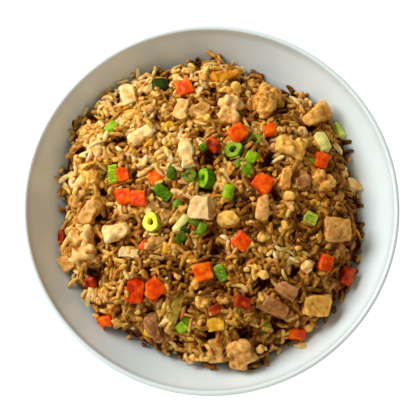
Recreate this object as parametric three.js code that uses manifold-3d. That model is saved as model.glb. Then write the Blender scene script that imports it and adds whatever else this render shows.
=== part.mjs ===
// Fried rice with chicken, carrot, scallion and egg, heaped in a white coupe bowl.
// Millimetres, +Z up. The origin is the middle of the bowl's foot, on the table.
import * as THREE from "three";
import { mergeVertices } from "three/addons/utils/BufferGeometryUtils.js";
import { ImprovedNoise } from "three/addons/math/ImprovedNoise.js";
import Module from "manifold-3d";

const wasm = await Module();
wasm.setup();

// ---- Driving dimensions -------------------------------------------------

const BOWL_RADIUS = 114; // to the outside of the lip
const BOWL_HEIGHT = 48;
const BOWL_SIDES = 48;
const WALL = 3.2;
const BASE = 4.6; // thickness under the flat floor
const FLOOR_HEIGHT = 8; // top of the floor above the table
const FLOOR_RADIUS = 48; // where the floor starts to curve up
const WALL_POWER = 2.67; // how late the wall turns up
const FOOT_RADIUS = 57;
const FOOT_WIDTH = 5;
const FOOT_LEAN = 0.8; // how far the foot's sides lean in
const FOOT_HOLLOW = 0.4; // how much thicker the base is inside the foot
const LIP_LEAN = 1.7; // rise of the room's side past the lip, per mm
const CEILING = 88; // top of the room that food may take
const GAP = 0.3; // clearance between pieces that touch
const REST_GAP = 1.5 * GAP; // the same where a slope or a grain lies on a surface
const SIDE_GAP = 2.6 * GAP; // room round a topping for its neighbours, both sides taken together

const HEAP_CREST = 54; // height of the middle of the heap above the table
const HEAP_RINGS = 28;
const GRAIN_LENGTH = 8.5;
const GRAIN_WIDTH = 2.7;
const LOOSE_GRAINS = 30;
const NEST_MARGIN = 2.4; // how far the nest under a topping reaches past it
const NEST_DEPTH = 0.55; // share of a topping's height from its middle to the nest's floor
const SUNK = 0.32; // share of a topping's height that lies under the rice
const STANDING = 0.35; // how far a topping stays upright on a slope
const RING_SIDES = 10;
const SLIVER = 0.02; // faces thinner than this are dropped after a cut

// How far the heap reaches from the middle, every 15 degrees from +X towards +Y.
const HEAP_REACH = [
  92.5, 90, 95, 96, 91, 93, 98.5, 96, 98, 100, 98.5, 95.5,
  91, 95, 94, 96, 91.5, 92, 94.5, 98.5, 94, 96, 95.5, 94,
];
const HEAP_LUMPS = [[24, 2.6, 3.7], [11, 1.2, 8.2]]; // width, height and draw of each kind
const DOME_FLATNESS = 3; // a higher power keeps more of the top level
const DOME_EDGE = 0.62; // a lower power makes the edge steeper
const SKIRT = 60; // fall of the heap past its edge, per heap radius

// ---- Where the toppings lie ---------------------------------------------
// Each row: x, y, length, width, height, then the turn of the long side from +X
// in degrees, and where needed a tip to the side, also in degrees.

// After the tip: how round the corners are, how much thinner one end is and how
// much thinner the middle is, each as a share.
const CHICKEN = [
  [-50.5, 69, 15, 8.5, 9, 109, 0, 0.2, 0, 0],
  [-41.5, 42.5, 21, 9, 8, 34, 0, 0.5, 0, 0.25],
  [9, 82, 19, 8, 7, 33, 0, 0.4, 0.2, 0],
  [-18.5, 58, 15, 12, 9, 80, 0, 0.35, 0.2, 0.15],
  [-6.5, 57.5, 13, 10, 8, 40, 0, 0.5, 0.15, 0],
  [11, 58.5, 17, 12, 10, 75, 0, 0.5, 0, 0.25],
  [34.5, 66.5, 21, 16, 13, 50, 0, 0.5, 0.15, 0.1],
  [-14.5, 30.5, 21, 10, 9, 100, 0, 0.4, 0.35, 0],
  [66, 57.5, 21, 15, 13, 215, 0, 0.45, 0.5, 0],
  [49, 34.5, 17, 13, 9, -15, 0, 0.5, 0, 0.25],
  [-73, 18.5, 16, 13, 12, 100, 0, 0.5, 0.1, 0.1],
  [-81, 5.5, 14, 12, 9, 60, 0, 0.5, 0.2, 0.2],
  [-73, -4, 18, 12, 10, 60, 0, 0.5, 0.2, 0.15],
  [-77.5, -23, 21, 17, 13, 100, 0, 0.5, 0.1, 0.25],
  [-88, -32.5, 15, 12, 9, 25, 0, 0.35, 0.2, 0],
  [-57, -17, 17, 12, 10, 15, 0, 0.5, 0.1, 0.25],
  [-4.5, -3.5, 15, 14, 13, -8, 24, 0.15, 0, 0],
  [9.5, -10.5, 15, 12, 9, 195, 0, 0.5, 0.4, 0],
  [30.5, -4, 18, 11, 9, 82, 0, 0.45, 0.5, 0],
  [45, 15.5, 15, 9, 9, 78, 0, 0.5, 0.2, 0.15],
  [54.5, 13, 11, 11, 8, 15, 0, 0.4, 0.1, 0],
  [67.5, 15, 13, 11, 9, -30, 0, 0.45, 0.2, 0.15],
  [88, 16.5, 14, 10, 9, 5, 0, 0.45, 0.2, 0.1],
  [75, -15, 17, 14.5, 11, -4, 0, 0.15, 0, 0],
  [45, -52, 15, 11, 9, 150, 0, 0.3, 0.45, 0],
  [38.5, -62, 18, 10, 9, -22, 0, 0.2, 0.1, 0],
  [63, -59.5, 21, 13, 10, -4, 0, 0.12, 0, 0],
  [-33.5, -73.5, 18, 9, 9, -72, 0, 0.2, 0.45, 0],
  [19, -89, 15, 14, 11, 110, 0, 0.5, 0.1, 0.1],
  [2.5, -86.5, 15, 10, 8, 95, 0, 0.4, 0.15, 0.1],
];

const CARROT = [
  [-16, 72, 10.5, 10, 9, 20],
  [16.5, 41.5, 10.5, 10, 9, 40],
  [67, 27.5, 9.5, 8.5, 8, 70],
  [-93.5, -16.5, 10, 9, 7, 5],
  [-52.5, 17.5, 9.5, 7.5, 8, 100],
  [-52, 4.5, 10, 9, 8, 8],
  [-43, 2.5, 9.5, 9, 8, -5],
  [-32.5, 16, 10, 9, 8, 25],
  [31, 11.5, 12, 11, 9, -32],
  [18.5, -23.5, 10.5, 9.5, 8, -40],
  [-4.5, -42, 11, 10.5, 9, 15],
  [-45, -52, 14, 11, 10, 80],
  [-33.5, -51.5, 13, 12, 10, 42],
  [68.5, -35, 10, 8, 8, 75],
  [81.5, -41, 11, 8, 8, 70],
  [51.5, -75.5, 10.5, 7, 7, -5],
];

// Rings of scallion: length and width are the two widths of a squeezed ring, and
// after the tip comes the share of the ring's radius that half of its wall takes.
const SCALLION_RING = [
  [14, 32, 11.5, 9.5, 6, 20, 20, 0.24],
  [-3, 14.5, 12, 9, 7, 85, 38, 0.28],
  [-35, -12, 12, 10, 6, 100, 15, 0.34],
];

// Strips, leaves and short closed lengths of scallion.
const SCALLION_CUT = [
  [-29, 6, 13.5, 7, 7, -42],
  [81, 52, 11, 9, 8, 110],
  [-59, 18.5, 13, 6.5, 5, 95],
  [6, -42, 11, 7, 6, 115],
  [60, -8.5, 8.5, 8, 5, -25],
];

const CELERY = [
  [68.5, 40, 15, 9.5, 8, 115],
  [-17.5, -12.5, 15, 6, 6, 50],
];

// After the tip as for the chicken.
const EGG = [
  [2.5, -71.5, 11, 9, 5, 5, 0, 0.25, 0, 0],
  [-48.5, -30, 13, 8, 6, -12, 0, 0.5, 0, 0.4],
];

// Smaller bits of all these, which are one with the rice that they lie in.
const BITS = [
  [-46.5, 55, 12, 8, 6, 20],
  [-72.5, 36.5, 11, 9, 7, 40],
  [12, 71, 13, 7, 6, 0],
  [26.5, 81, 9, 7, 6, -60],
  [-19, 6, 9, 7, 5, -35],
  [31, -18, 10, 8, 6, 10],
  [58, -38, 11, 7, 6, 30],
  [1.5, 34.5, 9, 7, 6, -50],
  [19, -59.5, 10, 7, 6, -15],
  [36, 45.5, 8, 7, 5, 20],
  [-63.5, -68.5, 8.5, 7, 6, 10],
  [-12.5, 15.5, 8, 8, 5, 0],
  [-60.5, 47.5, 8.5, 7, 5, 50],
  [26.5, 37.5, 8, 7, 6, 20],
  [24.5, 27, 8, 7, 5, 60],
  [10.5, 5.5, 9, 7, 6, 80],
  [-23.5, 17.5, 8, 5.5, 6, 95],
  [-5.5, -16, 8, 6, 5, 70],
  [22, 19, 8, 7, 5, -60],
  [-31.5, 75.5, 9, 7, 5, 10],
  [-17.5, -22, 8, 6, 5, 40],
  [-27.5, 48, 8, 5, 4, 0],
];

// ---- Solids and random draws --------------------------------------------

function randomSource(seed) {
  THREE.MathUtils.seededRandom(seed);
  return () => THREE.MathUtils.seededRandom();
}

function between(random, low, high) {
  return low + (high - low) * random();
}

function bare(geometry) {
  const copy = geometry.clone();
  copy.deleteAttribute("normal");
  copy.deleteAttribute("uv");
  return mergeVertices(copy, 1e-4);
}

function solidOf(geometry) {
  const merged = bare(geometry);
  return new wasm.Manifold(
    new wasm.Mesh({
      numProp: 3,
      vertProperties: merged.attributes.position.array,
      triVerts: new Uint32Array(merged.index.array),
    }),
  );
}

function geometryOf(solid) {
  const mesh = solid.getMesh();
  const geometry = new THREE.BufferGeometry();
  geometry.setAttribute("position", new THREE.BufferAttribute(mesh.vertProperties, 3));
  geometry.setIndex(new THREE.BufferAttribute(mesh.triVerts, 1));
  geometry.computeVertexNormals();
  return geometry;
}

function largestBody(solid) {
  const bodies = solid.decompose();
  return bodies.reduce((best, body) => (body.volume() > best.volume() ? body : best));
}

// ---- The bowl ------------------------------------------------------------

function innerHeight(radius) {
  const inside = BOWL_RADIUS - WALL / 2 - FLOOR_RADIUS;
  const climb = Math.max(0, radius - FLOOR_RADIUS) / inside;
  return FLOOR_HEIGHT + (BOWL_HEIGHT - WALL / 2 - FLOOR_HEIGHT) * climb ** WALL_POWER;
}

function innerSlope(radius) {
  const step = 0.5;
  return (innerHeight(radius + step) - innerHeight(radius - step)) / (2 * step);
}

const LIP_RADIUS = BOWL_RADIUS - 0.84 * WALL; // the lip is square to the sloping wall
const INNER_RINGS = [FLOOR_RADIUS, 62, 74, 85, 94, 102, LIP_RADIUS];

// The outside follows the inside at the wall's thickness, measured square to it.
function outerPoint(radius) {
  const slope = innerSlope(radius);
  const length = Math.hypot(1, slope);
  const share = (radius - FLOOR_RADIUS) / (LIP_RADIUS - FLOOR_RADIUS);
  const thickness = THREE.MathUtils.lerp(BASE, WALL, share);
  return new THREE.Vector2(
    radius + (thickness * slope) / length,
    innerHeight(radius) - thickness / length,
  );
}

function bowlGeometry() {
  const inner = INNER_RINGS.map((radius) => new THREE.Vector2(radius, innerHeight(radius)));
  const lipStart = inner.at(-1);
  const lipEnd = outerPoint(LIP_RADIUS);
  const lipTop = new THREE.Vector2((lipStart.x + lipEnd.x) / 2, BOWL_HEIGHT);
  const outer = [102, 92, 80, 68].map(outerPoint);
  const underside = FLOOR_HEIGHT - BASE;
  const foot = [
    new THREE.Vector2(FOOT_RADIUS, underside),
    new THREE.Vector2(FOOT_RADIUS - FOOT_LEAN, 0),
    new THREE.Vector2(FOOT_RADIUS - FOOT_WIDTH, 0),
    new THREE.Vector2(FOOT_RADIUS - FOOT_WIDTH - FOOT_LEAN, underside - FOOT_HOLLOW),
    new THREE.Vector2(0, underside - FOOT_HOLLOW),
  ];
  const profile = [
    new THREE.Vector2(0, FLOOR_HEIGHT),
    ...inner,
    lipTop,
    lipEnd,
    ...outer,
    ...foot,
  ];
  return turned(profile.reverse());
}

// A profile of radius and height, turned about the vertical axis.
function turned(profile, sides = BOWL_SIDES) {
  return new THREE.LatheGeometry(profile, sides).rotateX(Math.PI / 2);
}

// The room inside the bowl, from just above its wall up past everything in it.
function insideOfBowl(rings) {
  const top = BOWL_RADIUS + 1;
  const wall = rings.map((radius) => new THREE.Vector2(radius, innerHeight(radius) + REST_GAP));
  const profile = [
    new THREE.Vector2(0, FLOOR_HEIGHT + REST_GAP),
    ...wall,
    new THREE.Vector2(top, innerHeight(LIP_RADIUS) + (top - LIP_RADIUS) * LIP_LEAN),
    new THREE.Vector2(top, CEILING),
    new THREE.Vector2(0, CEILING),
  ];
  return solidOf(turned(profile));
}

// ---- The heap ------------------------------------------------------------

function reach(angle) {
  const count = HEAP_REACH.length;
  const place = ((angle / (2 * Math.PI)) * count + count) % count;
  const before = Math.floor(place);
  const ease = THREE.MathUtils.smoothstep(place - before, 0, 1);
  return THREE.MathUtils.lerp(HEAP_REACH[before % count], HEAP_REACH[(before + 1) % count], ease);
}

const noise = new ImprovedNoise();

// Height of the rice without its grains: a flat dome with soft lumps and a steep edge.
function heapHeight(x, y) {
  const edge = reach(Math.atan2(y, x));
  const share = Math.hypot(x, y) / edge;
  const foot = innerHeight(edge);
  if (share >= 1) return foot - (share - 1) * SKIRT;
  const dome = (1 - share ** DOME_FLATNESS) ** DOME_EDGE;
  const lumps = HEAP_LUMPS.reduce((sum, [wide, high, draw]) => {
    return sum + high * noise.noise(x / wide, y / wide, draw);
  }, 0);
  return foot + (HEAP_CREST - foot) * dome + lumps * Math.min(1, 4 * (1 - share));
}

function heapNormal(x, y) {
  const step = 6;
  const dx = heapHeight(x + step, y) - heapHeight(x - step, y);
  const dy = heapHeight(x, y + step) - heapHeight(x, y - step);
  return new THREE.Vector3(-dx, -dy, 2 * step).normalize();
}

// Points on rings, six more on each ring, so that all triangles are alike in size.
function heapPoints(random) {
  const points = [new THREE.Vector3(0, 0, heapHeight(0, 0))];
  for (let ring = 1; ring <= HEAP_RINGS; ring++) {
    for (let i = 0; i < 6 * ring; i++) {
      const angle = (2 * Math.PI * (i + between(random, -0.25, 0.25))) / (6 * ring);
      const share = (ring + between(random, -0.25, 0.25)) / (HEAP_RINGS - 1);
      const radius = share * reach(angle);
      const x = radius * Math.cos(angle);
      const y = radius * Math.sin(angle);
      points.push(new THREE.Vector3(x, y, heapHeight(x, y)));
    }
  }
  return points;
}

function ringStart(ring) {
  return ring === 0 ? 0 : 1 + 3 * ring * (ring - 1);
}

function ringPoint(ring, i) {
  return ring === 0 ? 0 : ringStart(ring) + (i % (6 * ring));
}

function heapTriangles() {
  const triangles = [];
  for (let ring = 1; ring <= HEAP_RINGS; ring++) {
    for (let side = 0; side < 6; side++) {
      for (let i = 0; i < ring; i++) {
        const outside = side * ring + i;
        const inside = side * (ring - 1) + i;
        const a = ringPoint(ring, outside);
        const b = ringPoint(ring, outside + 1);
        const c = ringPoint(ring - 1, inside);
        triangles.push([a, b, c]);
        if (i < ring - 1) triangles.push([b, ringPoint(ring - 1, inside + 1), c]);
      }
    }
  }
  return triangles;
}

// Raises pairs of neighbouring points, so that each pair stands up as a ridge the
// size of a grain, with lower ground round it.
function raiseGrainRidges(points, triangles, random) {
  const edges = triangles.flatMap(([a, b, c]) => [[a, b], [b, c]]);
  const order = edges.map((edge) => [random(), edge]).sort((p, q) => p[0] - q[0]);
  const used = new Set();
  for (const [, [a, b]] of order) {
    if (used.has(a) || used.has(b) || random() < 0.45) continue;
    used.add(a);
    used.add(b);
    const rise = GRAIN_WIDTH * between(random, 0.5, 0.95);
    points[a].z += rise;
    points[b].z += rise * between(random, 0.7, 1.1);
  }
}

// Presses a nest into the rice under a topping, down to just below its underside.
function pressNest(points, mesh, [, , length, width, height]) {
  const down = new THREE.Vector3(0, 0, 1).transformDirection(mesh.matrixWorld);
  const depth = NEST_DEPTH * height + GAP;
  const under = mesh.position.clone().addScaledVector(down, -depth);
  const toLocal = mesh.matrixWorld.clone().invert();
  for (const point of points) {
    const floor = point.clone();
    const drop = (point.x - under.x) * down.x + (point.y - under.y) * down.y;
    floor.z = under.z - drop / down.z;
    const local = floor.clone().applyMatrix4(toLocal);
    const across = Math.abs(local.x) / (length / 2 + NEST_MARGIN);
    const along = Math.abs(local.y) / (width / 2 + NEST_MARGIN);
    if (across ** 4 + along ** 4 < 1) point.z = Math.min(point.z, floor.z);
  }
}

function heapCore(placed) {
  const random = randomSource(11);
  const points = heapPoints(random);
  const triangles = heapTriangles();
  raiseGrainRidges(points, triangles, random);
  placed.forEach(({ mesh, row }) => pressNest(points, mesh, row));
  const rim = ringStart(HEAP_RINGS);
  const rimCount = 6 * HEAP_RINGS;
  const below = points.length;
  for (let i = 0; i < rimCount; i++) {
    points.push(points[rim + i].clone().setZ(0));
  }
  const middle = points.push(new THREE.Vector3(0, 0, 0)) - 1;
  for (let i = 0; i < rimCount; i++) {
    const next = (i + 1) % rimCount;
    triangles.push([rim + i, below + i, rim + next]);
    triangles.push([rim + next, below + i, below + next]);
    triangles.push([middle, below + next, below + i]);
  }
  const geometry = new THREE.BufferGeometry().setFromPoints(points);
  geometry.setIndex(triangles.flat());
  return solidOf(geometry).intersect(insideOfBowl([FLOOR_RADIUS, 70, 85, 97, LIP_RADIUS]));
}

// ---- Shapes of the toppings -----------------------------------------------

// A cut block: a box whose corners are pulled in, which may be thinner at one end
// or in the middle, and whose points are all a bit off.
function block([length, width, height], unevenness, random, roundness, taper = 0, waist = 0) {
  const geometry = bare(new THREE.BoxGeometry(2, 2, 2, 2, 2, 2));
  const place = geometry.attributes.position;
  const half = new THREE.Vector3(length / 2, width / 2, height / 2);
  for (let i = 0; i < place.count; i++) {
    const corner = new THREE.Vector3().fromBufferAttribute(place, i);
    const along = corner.x;
    const ball = corner.clone().normalize();
    corner.lerp(ball, roundness);
    for (const axis of ["x", "y", "z"]) {
      corner[axis] += between(random, -unevenness, unevenness);
    }
    const thinned = (1 - (taper * (along + 1)) / 2) * (along === 0 ? 1 - waist : 1);
    corner.multiply(half);
    place.setXYZ(i, corner.x, corner.y * thinned, corner.z * Math.sqrt(thinned));
  }
  return geometry;
}

// The same with only its eight corners, for what is one with the rice.
function dice(length, width, height, random) {
  const geometry = bare(new THREE.BoxGeometry(length, width, height));
  const place = geometry.attributes.position;
  for (let i = 0; i < place.array.length; i++) {
    place.array[i] *= between(random, 0.72, 1);
  }
  return geometry;
}

function chickenPiece(size, random, form) {
  return block(size, 0.12, random, ...form);
}

function carrotDice(size, random) {
  return block(size, 0.06, random, 0.16);
}

function scallionCut(size, random) {
  return block(size, 0.06, random, 0.4);
}

function celerySlice(size, random) {
  return block(size, 0.05, random, 0.72);
}

function eggPiece(size, random, form) {
  return block(size, 0.12, random, ...form);
}

function scallionRing([length, width, height], random, [skin]) {
  const hole = 1 - 2 * skin;
  const profile = [
    new THREE.Vector2(hole, -1),
    new THREE.Vector2(1, -1),
    new THREE.Vector2(1, 1),
    new THREE.Vector2(hole, 1),
    new THREE.Vector2(hole, -1),
  ];
  return turned(profile, RING_SIDES).scale(length / 2, width / 2, height / 2);
}

function grain(length, width) {
  const geometry = new THREE.SphereGeometry(1, 5, 3);
  geometry.rotateZ(Math.PI / 2);
  return geometry.scale(length / 2, width / 2, width / 2);
}

// ---- Placing the toppings --------------------------------------------------

// Stands a shape on the slope of the heap at its place, turned and tipped.
function setDown(object, [x, y, , , height, turn, tip = 0], sunk = SUNK) {
  const upright = new THREE.Vector3(0, 0, 1);
  const slope = new THREE.Quaternion().setFromUnitVectors(
    upright,
    heapNormal(x, y).lerp(upright, STANDING).normalize(),
  );
  const spin = new THREE.Quaternion().setFromAxisAngle(upright, THREE.MathUtils.degToRad(turn));
  const lean = new THREE.Quaternion().setFromAxisAngle(
    new THREE.Vector3(0, 1, 0),
    THREE.MathUtils.degToRad(-tip),
  );
  object.quaternion.copy(slope).multiply(lean).multiply(spin);
  object.position.set(x, y, heapHeight(x, y) + height * (0.5 - sunk));
  object.updateMatrixWorld(true);
  return object;
}

// The same shape grown by the gap all round, in world space. A ring's is filled.
function grown(mesh, row, isRing) {
  const [, , length, width, height] = row;
  const shape = isRing
    ? new THREE.CylinderGeometry(1, 1, 1, RING_SIDES)
        .rotateX(Math.PI / 2)
        .scale(length / 2, width / 2, height)
    : mesh.geometry.clone();
  const [alongGrowth, acrossGrowth, upGrowth] = [length, width, height].map((extent) => {
    return (extent + SIDE_GAP) / extent;
  });
  shape.scale(alongGrowth, acrossGrowth, upGrowth);
  return solidOf(shape.applyMatrix4(mesh.matrixWorld));
}

const MATERIALS = {
  glaze: { color: 0xf1f1ec, roughness: 0.22, metalness: 0 },
  rice: { color: 0xb8803a, roughness: 0.5, metalness: 0 },
  chicken: { color: 0xe3bd84, roughness: 0.55, metalness: 0 },
  carrot: { color: 0xe85a12, roughness: 0.4, metalness: 0 },
  scallion: { color: 0x6fa32a, roughness: 0.4, metalness: 0 },
  celery: { color: 0xcfcf7a, roughness: 0.4, metalness: 0 },
  egg: { color: 0xe9b93c, roughness: 0.5, metalness: 0 },
};

function named(name, geometry, material) {
  const mesh = new THREE.Mesh(geometry, new THREE.MeshStandardMaterial(MATERIALS[material]));
  mesh.name = name;
  return mesh;
}

const TOPPINGS = [
  { kind: "carrot", rows: CARROT, shape: carrotDice, material: "carrot" },
  { kind: "scallion_ring", rows: SCALLION_RING, shape: scallionRing, material: "scallion" },
  { kind: "scallion_cut", rows: SCALLION_CUT, shape: scallionCut, material: "scallion" },
  { kind: "celery", rows: CELERY, shape: celerySlice, material: "celery" },
  { kind: "egg", rows: EGG, shape: eggPiece, material: "egg" },
  { kind: "chicken", rows: CHICKEN, shape: chickenPiece, material: "chicken" },
];

function placeToppings() {
  const placed = [];
  for (const { kind, rows, shape, material } of TOPPINGS) {
    rows.forEach((row, i) => {
      const random = randomSource(100 * (placed.length + 1));
      const name = `${kind}_${String(i + 1).padStart(2, "0")}`;
      const mesh = named(name, shape(row.slice(2, 5), random, row.slice(7)), material);
      setDown(mesh, row);
      placed.push({ mesh, row, room: grown(mesh, row, kind === "scallion_ring") });
    });
  }
  return placed;
}

// Trims each topping by those set down before it, by the bowl's wall and by the rice.
function trimToppings(placed, core) {
  const raised = core.translate(0, 0, REST_GAP);
  const room = insideOfBowl(INNER_RINGS).subtract(core.add(raised));
  placed.forEach(({ mesh }, i) => {
    const whole = solidOf(mesh.geometry.clone().applyMatrix4(mesh.matrixWorld));
    let left = whole.intersect(room);
    for (const earlier of placed.slice(0, i)) {
      left = left.subtract(earlier.room);
    }
    if (whole.volume() - left.volume() < 1e-3) return;
    const local = geometryOf(largestBody(left).simplify(SLIVER));
    mesh.geometry = local.applyMatrix4(mesh.matrixWorld.clone().invert());
  });
}

// ---- Grains and bits that are one with the heap ------------------------------

function bitSolids() {
  return BITS.map((row, i) => {
    const [, , length, width, height] = row;
    const random = randomSource(9000 + i);
    const shape = new THREE.Mesh(dice(length, width, height, random));
    setDown(shape, row);
    return solidOf(shape.geometry.applyMatrix4(shape.matrixWorld));
  });
}

function clearOfToppings(x, y) {
  const rows = TOPPINGS.flatMap((topping) => topping.rows).concat(BITS);
  return rows.every(([tx, ty, length, width]) => {
    return Math.hypot(x - tx, y - ty) > (length + width) / 4 + GRAIN_LENGTH / 2;
  });
}

// Loose grains, most of them near the edge, where they break up the outline.
function grainSolids() {
  const random = randomSource(5);
  const grains = [];
  while (grains.length < LOOSE_GRAINS) {
    const angle = between(random, 0, 2 * Math.PI);
    const share = random() < 0.6 ? between(random, 0.9, 0.99) : Math.sqrt(random()) * 0.9;
    const x = share * reach(angle) * Math.cos(angle);
    const y = share * reach(angle) * Math.sin(angle);
    const turn = between(random, 0, 180);
    if (!clearOfToppings(x, y)) continue;
    const length = GRAIN_LENGTH * between(random, 0.85, 1.1);
    const shape = new THREE.Mesh(grain(length, GRAIN_WIDTH));
    setDown(shape, [x, y, length, GRAIN_WIDTH, GRAIN_WIDTH, turn], -0.25);
    grains.push(solidOf(shape.geometry.applyMatrix4(shape.matrixWorld)));
  }
  return grains;
}

function riceHeap(placed, core) {
  const inside = insideOfBowl(INNER_RINGS);
  let heap = core;
  for (const extra of [...bitSolids(), ...grainSolids()]) {
    const clear = placed.every(({ room }) => room.intersect(extra).isEmpty());
    if (clear) heap = heap.add(extra.intersect(inside));
  }
  return geometryOf(largestBody(heap.simplify(SLIVER)));
}

// ---- The whole ----------------------------------------------------------------

const plate = new THREE.Group();
plate.add(named("bowl", bowlGeometry(), "glaze"));

const food = new THREE.Group();
const placed = placeToppings();
const core = heapCore(placed);
trimToppings(placed, core);
food.add(named("rice_heap", riceHeap(placed, core), "rice"));
placed.forEach(({ mesh }) => food.add(mesh));
plate.add(food);

export default plate;
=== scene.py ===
"""Fried rice heaped in a white glazed coupe bowl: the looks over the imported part.

Everything is worked out in millimetres, +Z up, and turned into metres as each mesh is made.
"""

import math

import bpy
import numpy as np
from mathutils import Matrix, Vector
from mathutils.bvhtree import BVHTree

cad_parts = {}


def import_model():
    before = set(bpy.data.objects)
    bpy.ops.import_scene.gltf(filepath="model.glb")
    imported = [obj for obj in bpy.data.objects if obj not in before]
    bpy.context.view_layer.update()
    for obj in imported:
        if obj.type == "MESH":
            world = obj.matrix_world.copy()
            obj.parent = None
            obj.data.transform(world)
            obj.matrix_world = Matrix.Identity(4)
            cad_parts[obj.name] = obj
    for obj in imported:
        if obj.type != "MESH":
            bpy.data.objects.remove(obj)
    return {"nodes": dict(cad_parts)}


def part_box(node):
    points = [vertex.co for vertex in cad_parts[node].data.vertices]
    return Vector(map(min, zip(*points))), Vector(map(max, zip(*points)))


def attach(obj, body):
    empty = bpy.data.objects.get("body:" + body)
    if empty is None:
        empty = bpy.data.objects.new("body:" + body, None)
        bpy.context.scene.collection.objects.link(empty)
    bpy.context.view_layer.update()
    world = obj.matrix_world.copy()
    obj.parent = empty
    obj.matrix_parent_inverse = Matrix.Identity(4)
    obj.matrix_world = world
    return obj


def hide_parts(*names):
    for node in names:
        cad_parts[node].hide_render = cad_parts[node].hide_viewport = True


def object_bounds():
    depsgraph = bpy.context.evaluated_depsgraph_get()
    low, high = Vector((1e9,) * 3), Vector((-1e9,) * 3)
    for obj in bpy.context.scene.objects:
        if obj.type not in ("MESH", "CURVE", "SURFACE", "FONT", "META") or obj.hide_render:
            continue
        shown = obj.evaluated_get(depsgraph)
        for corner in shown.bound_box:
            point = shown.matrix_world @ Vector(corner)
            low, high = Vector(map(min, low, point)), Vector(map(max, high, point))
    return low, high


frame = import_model()
cad_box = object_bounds()
nodes = frame["nodes"]

MM = 0.001
CAD_TOP = cad_box[1][2] / MM - 0.05  # just under the top of the solids' box

# ---- The bowl and the heap, with the same values as the solids

BOWL_RADIUS = 114.0
BOWL_HEIGHT = 48.0
WALL = 3.2
BASE = 4.6
FLOOR_HEIGHT = 8.0
FLOOR_RADIUS = 48.0
WALL_POWER = 2.67
FOOT_RADIUS = 57.0
FOOT_WIDTH = 5.0
UNDERSIDE = 3.0
LIP_RADIUS = BOWL_RADIUS - 0.84 * WALL
BOWL_SIDES = 192
HEAP_CREST = 54.0
DOME_POWER = 3
DOME_SHOULDER = 0.62
OFF_GLAZE = 0.45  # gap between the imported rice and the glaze
GRAIN_OFF_GLAZE = 0.35

# How far the heap reaches from the middle, every 15 degrees from +X towards +Y.
HEAP_REACH = [
    92.5, 90, 95, 96, 91, 93, 98.5, 96, 98, 100, 98.5, 95.5,
    91, 95, 94, 96, 91.5, 92, 94.5, 98.5, 94, 96, 95.5, 94,
]

GRAIN_LENGTH, LENGTH_SPREAD = 8.6, 1.5
GRAIN_WIDTH, WIDTH_SPREAD = 2.7, 0.28
GRAIN_THICKNESS = 0.88  # as a share of its width
BROKEN = 0.3  # share of grains that are broken
STEEP_SHARE = 0.3  # share of the loose grains that stand up
PACKED_TRIES = 6000
LOOSE_TRIES = 5200
STRAY_TRIES = 150
STRAY_CEILING = 62.0
PACKED_STEPS = 306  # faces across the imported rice

# Hollows between the clumps of rice: x, y and radius; the depth is a share of the radius.
HOLLOW_DEPTH = 1.4
HOLLOWS = [
    (-40.5, 73, 4.5), (-58, 70, 4.5), (-9.5, 93, 4), (19, 80.5, 4), (1.5, 71.5, 3.5),
    (44, 63, 4.5), (61.5, 50.5, 4), (36.5, 39.5, 4), (36, 26.5, 4.5), (0.5, 28, 5.5),
    (-55.5, 39.5, 3.5), (-3.5, 8.5, 4), (39, 5.5, 5), (-66.5, -6, 4), (80.5, 38.5, 3.5),
    (88, 9.5, 4), (-65, 8, 3.5), (-89, 29, 4), (-70, -41.5, 6), (-59, -24, 3.5),
    (5.5, -28, 4.5), (-0.5, -20.5, 3), (19.5, -35, 3), (30.5, -49, 6), (49, -40.5, 4.5),
    (23.5, -56.5, 4), (-36.5, -65, 4), (-1.5, -77, 5), (21, -77.5, 4.5), (39.5, -71, 4.5),
    (80.5, -21.5, 4), (-18.5, -81, 4), (-28.5, -36.5, 3), (-54.5, -63, 3), (-36.5, -39.5, 3),
    (31, -86, 4), (61, -38, 3), (-27.5, -17, 3), (53.5, -6.5, 3), (-79.5, 36.5, 3.5),
    (-72, 57.5, 4), (-28.5, 82, 4),
]

# ---- Small toppings that lie in the rice: x, y, length, width, height, turn in degrees

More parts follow.
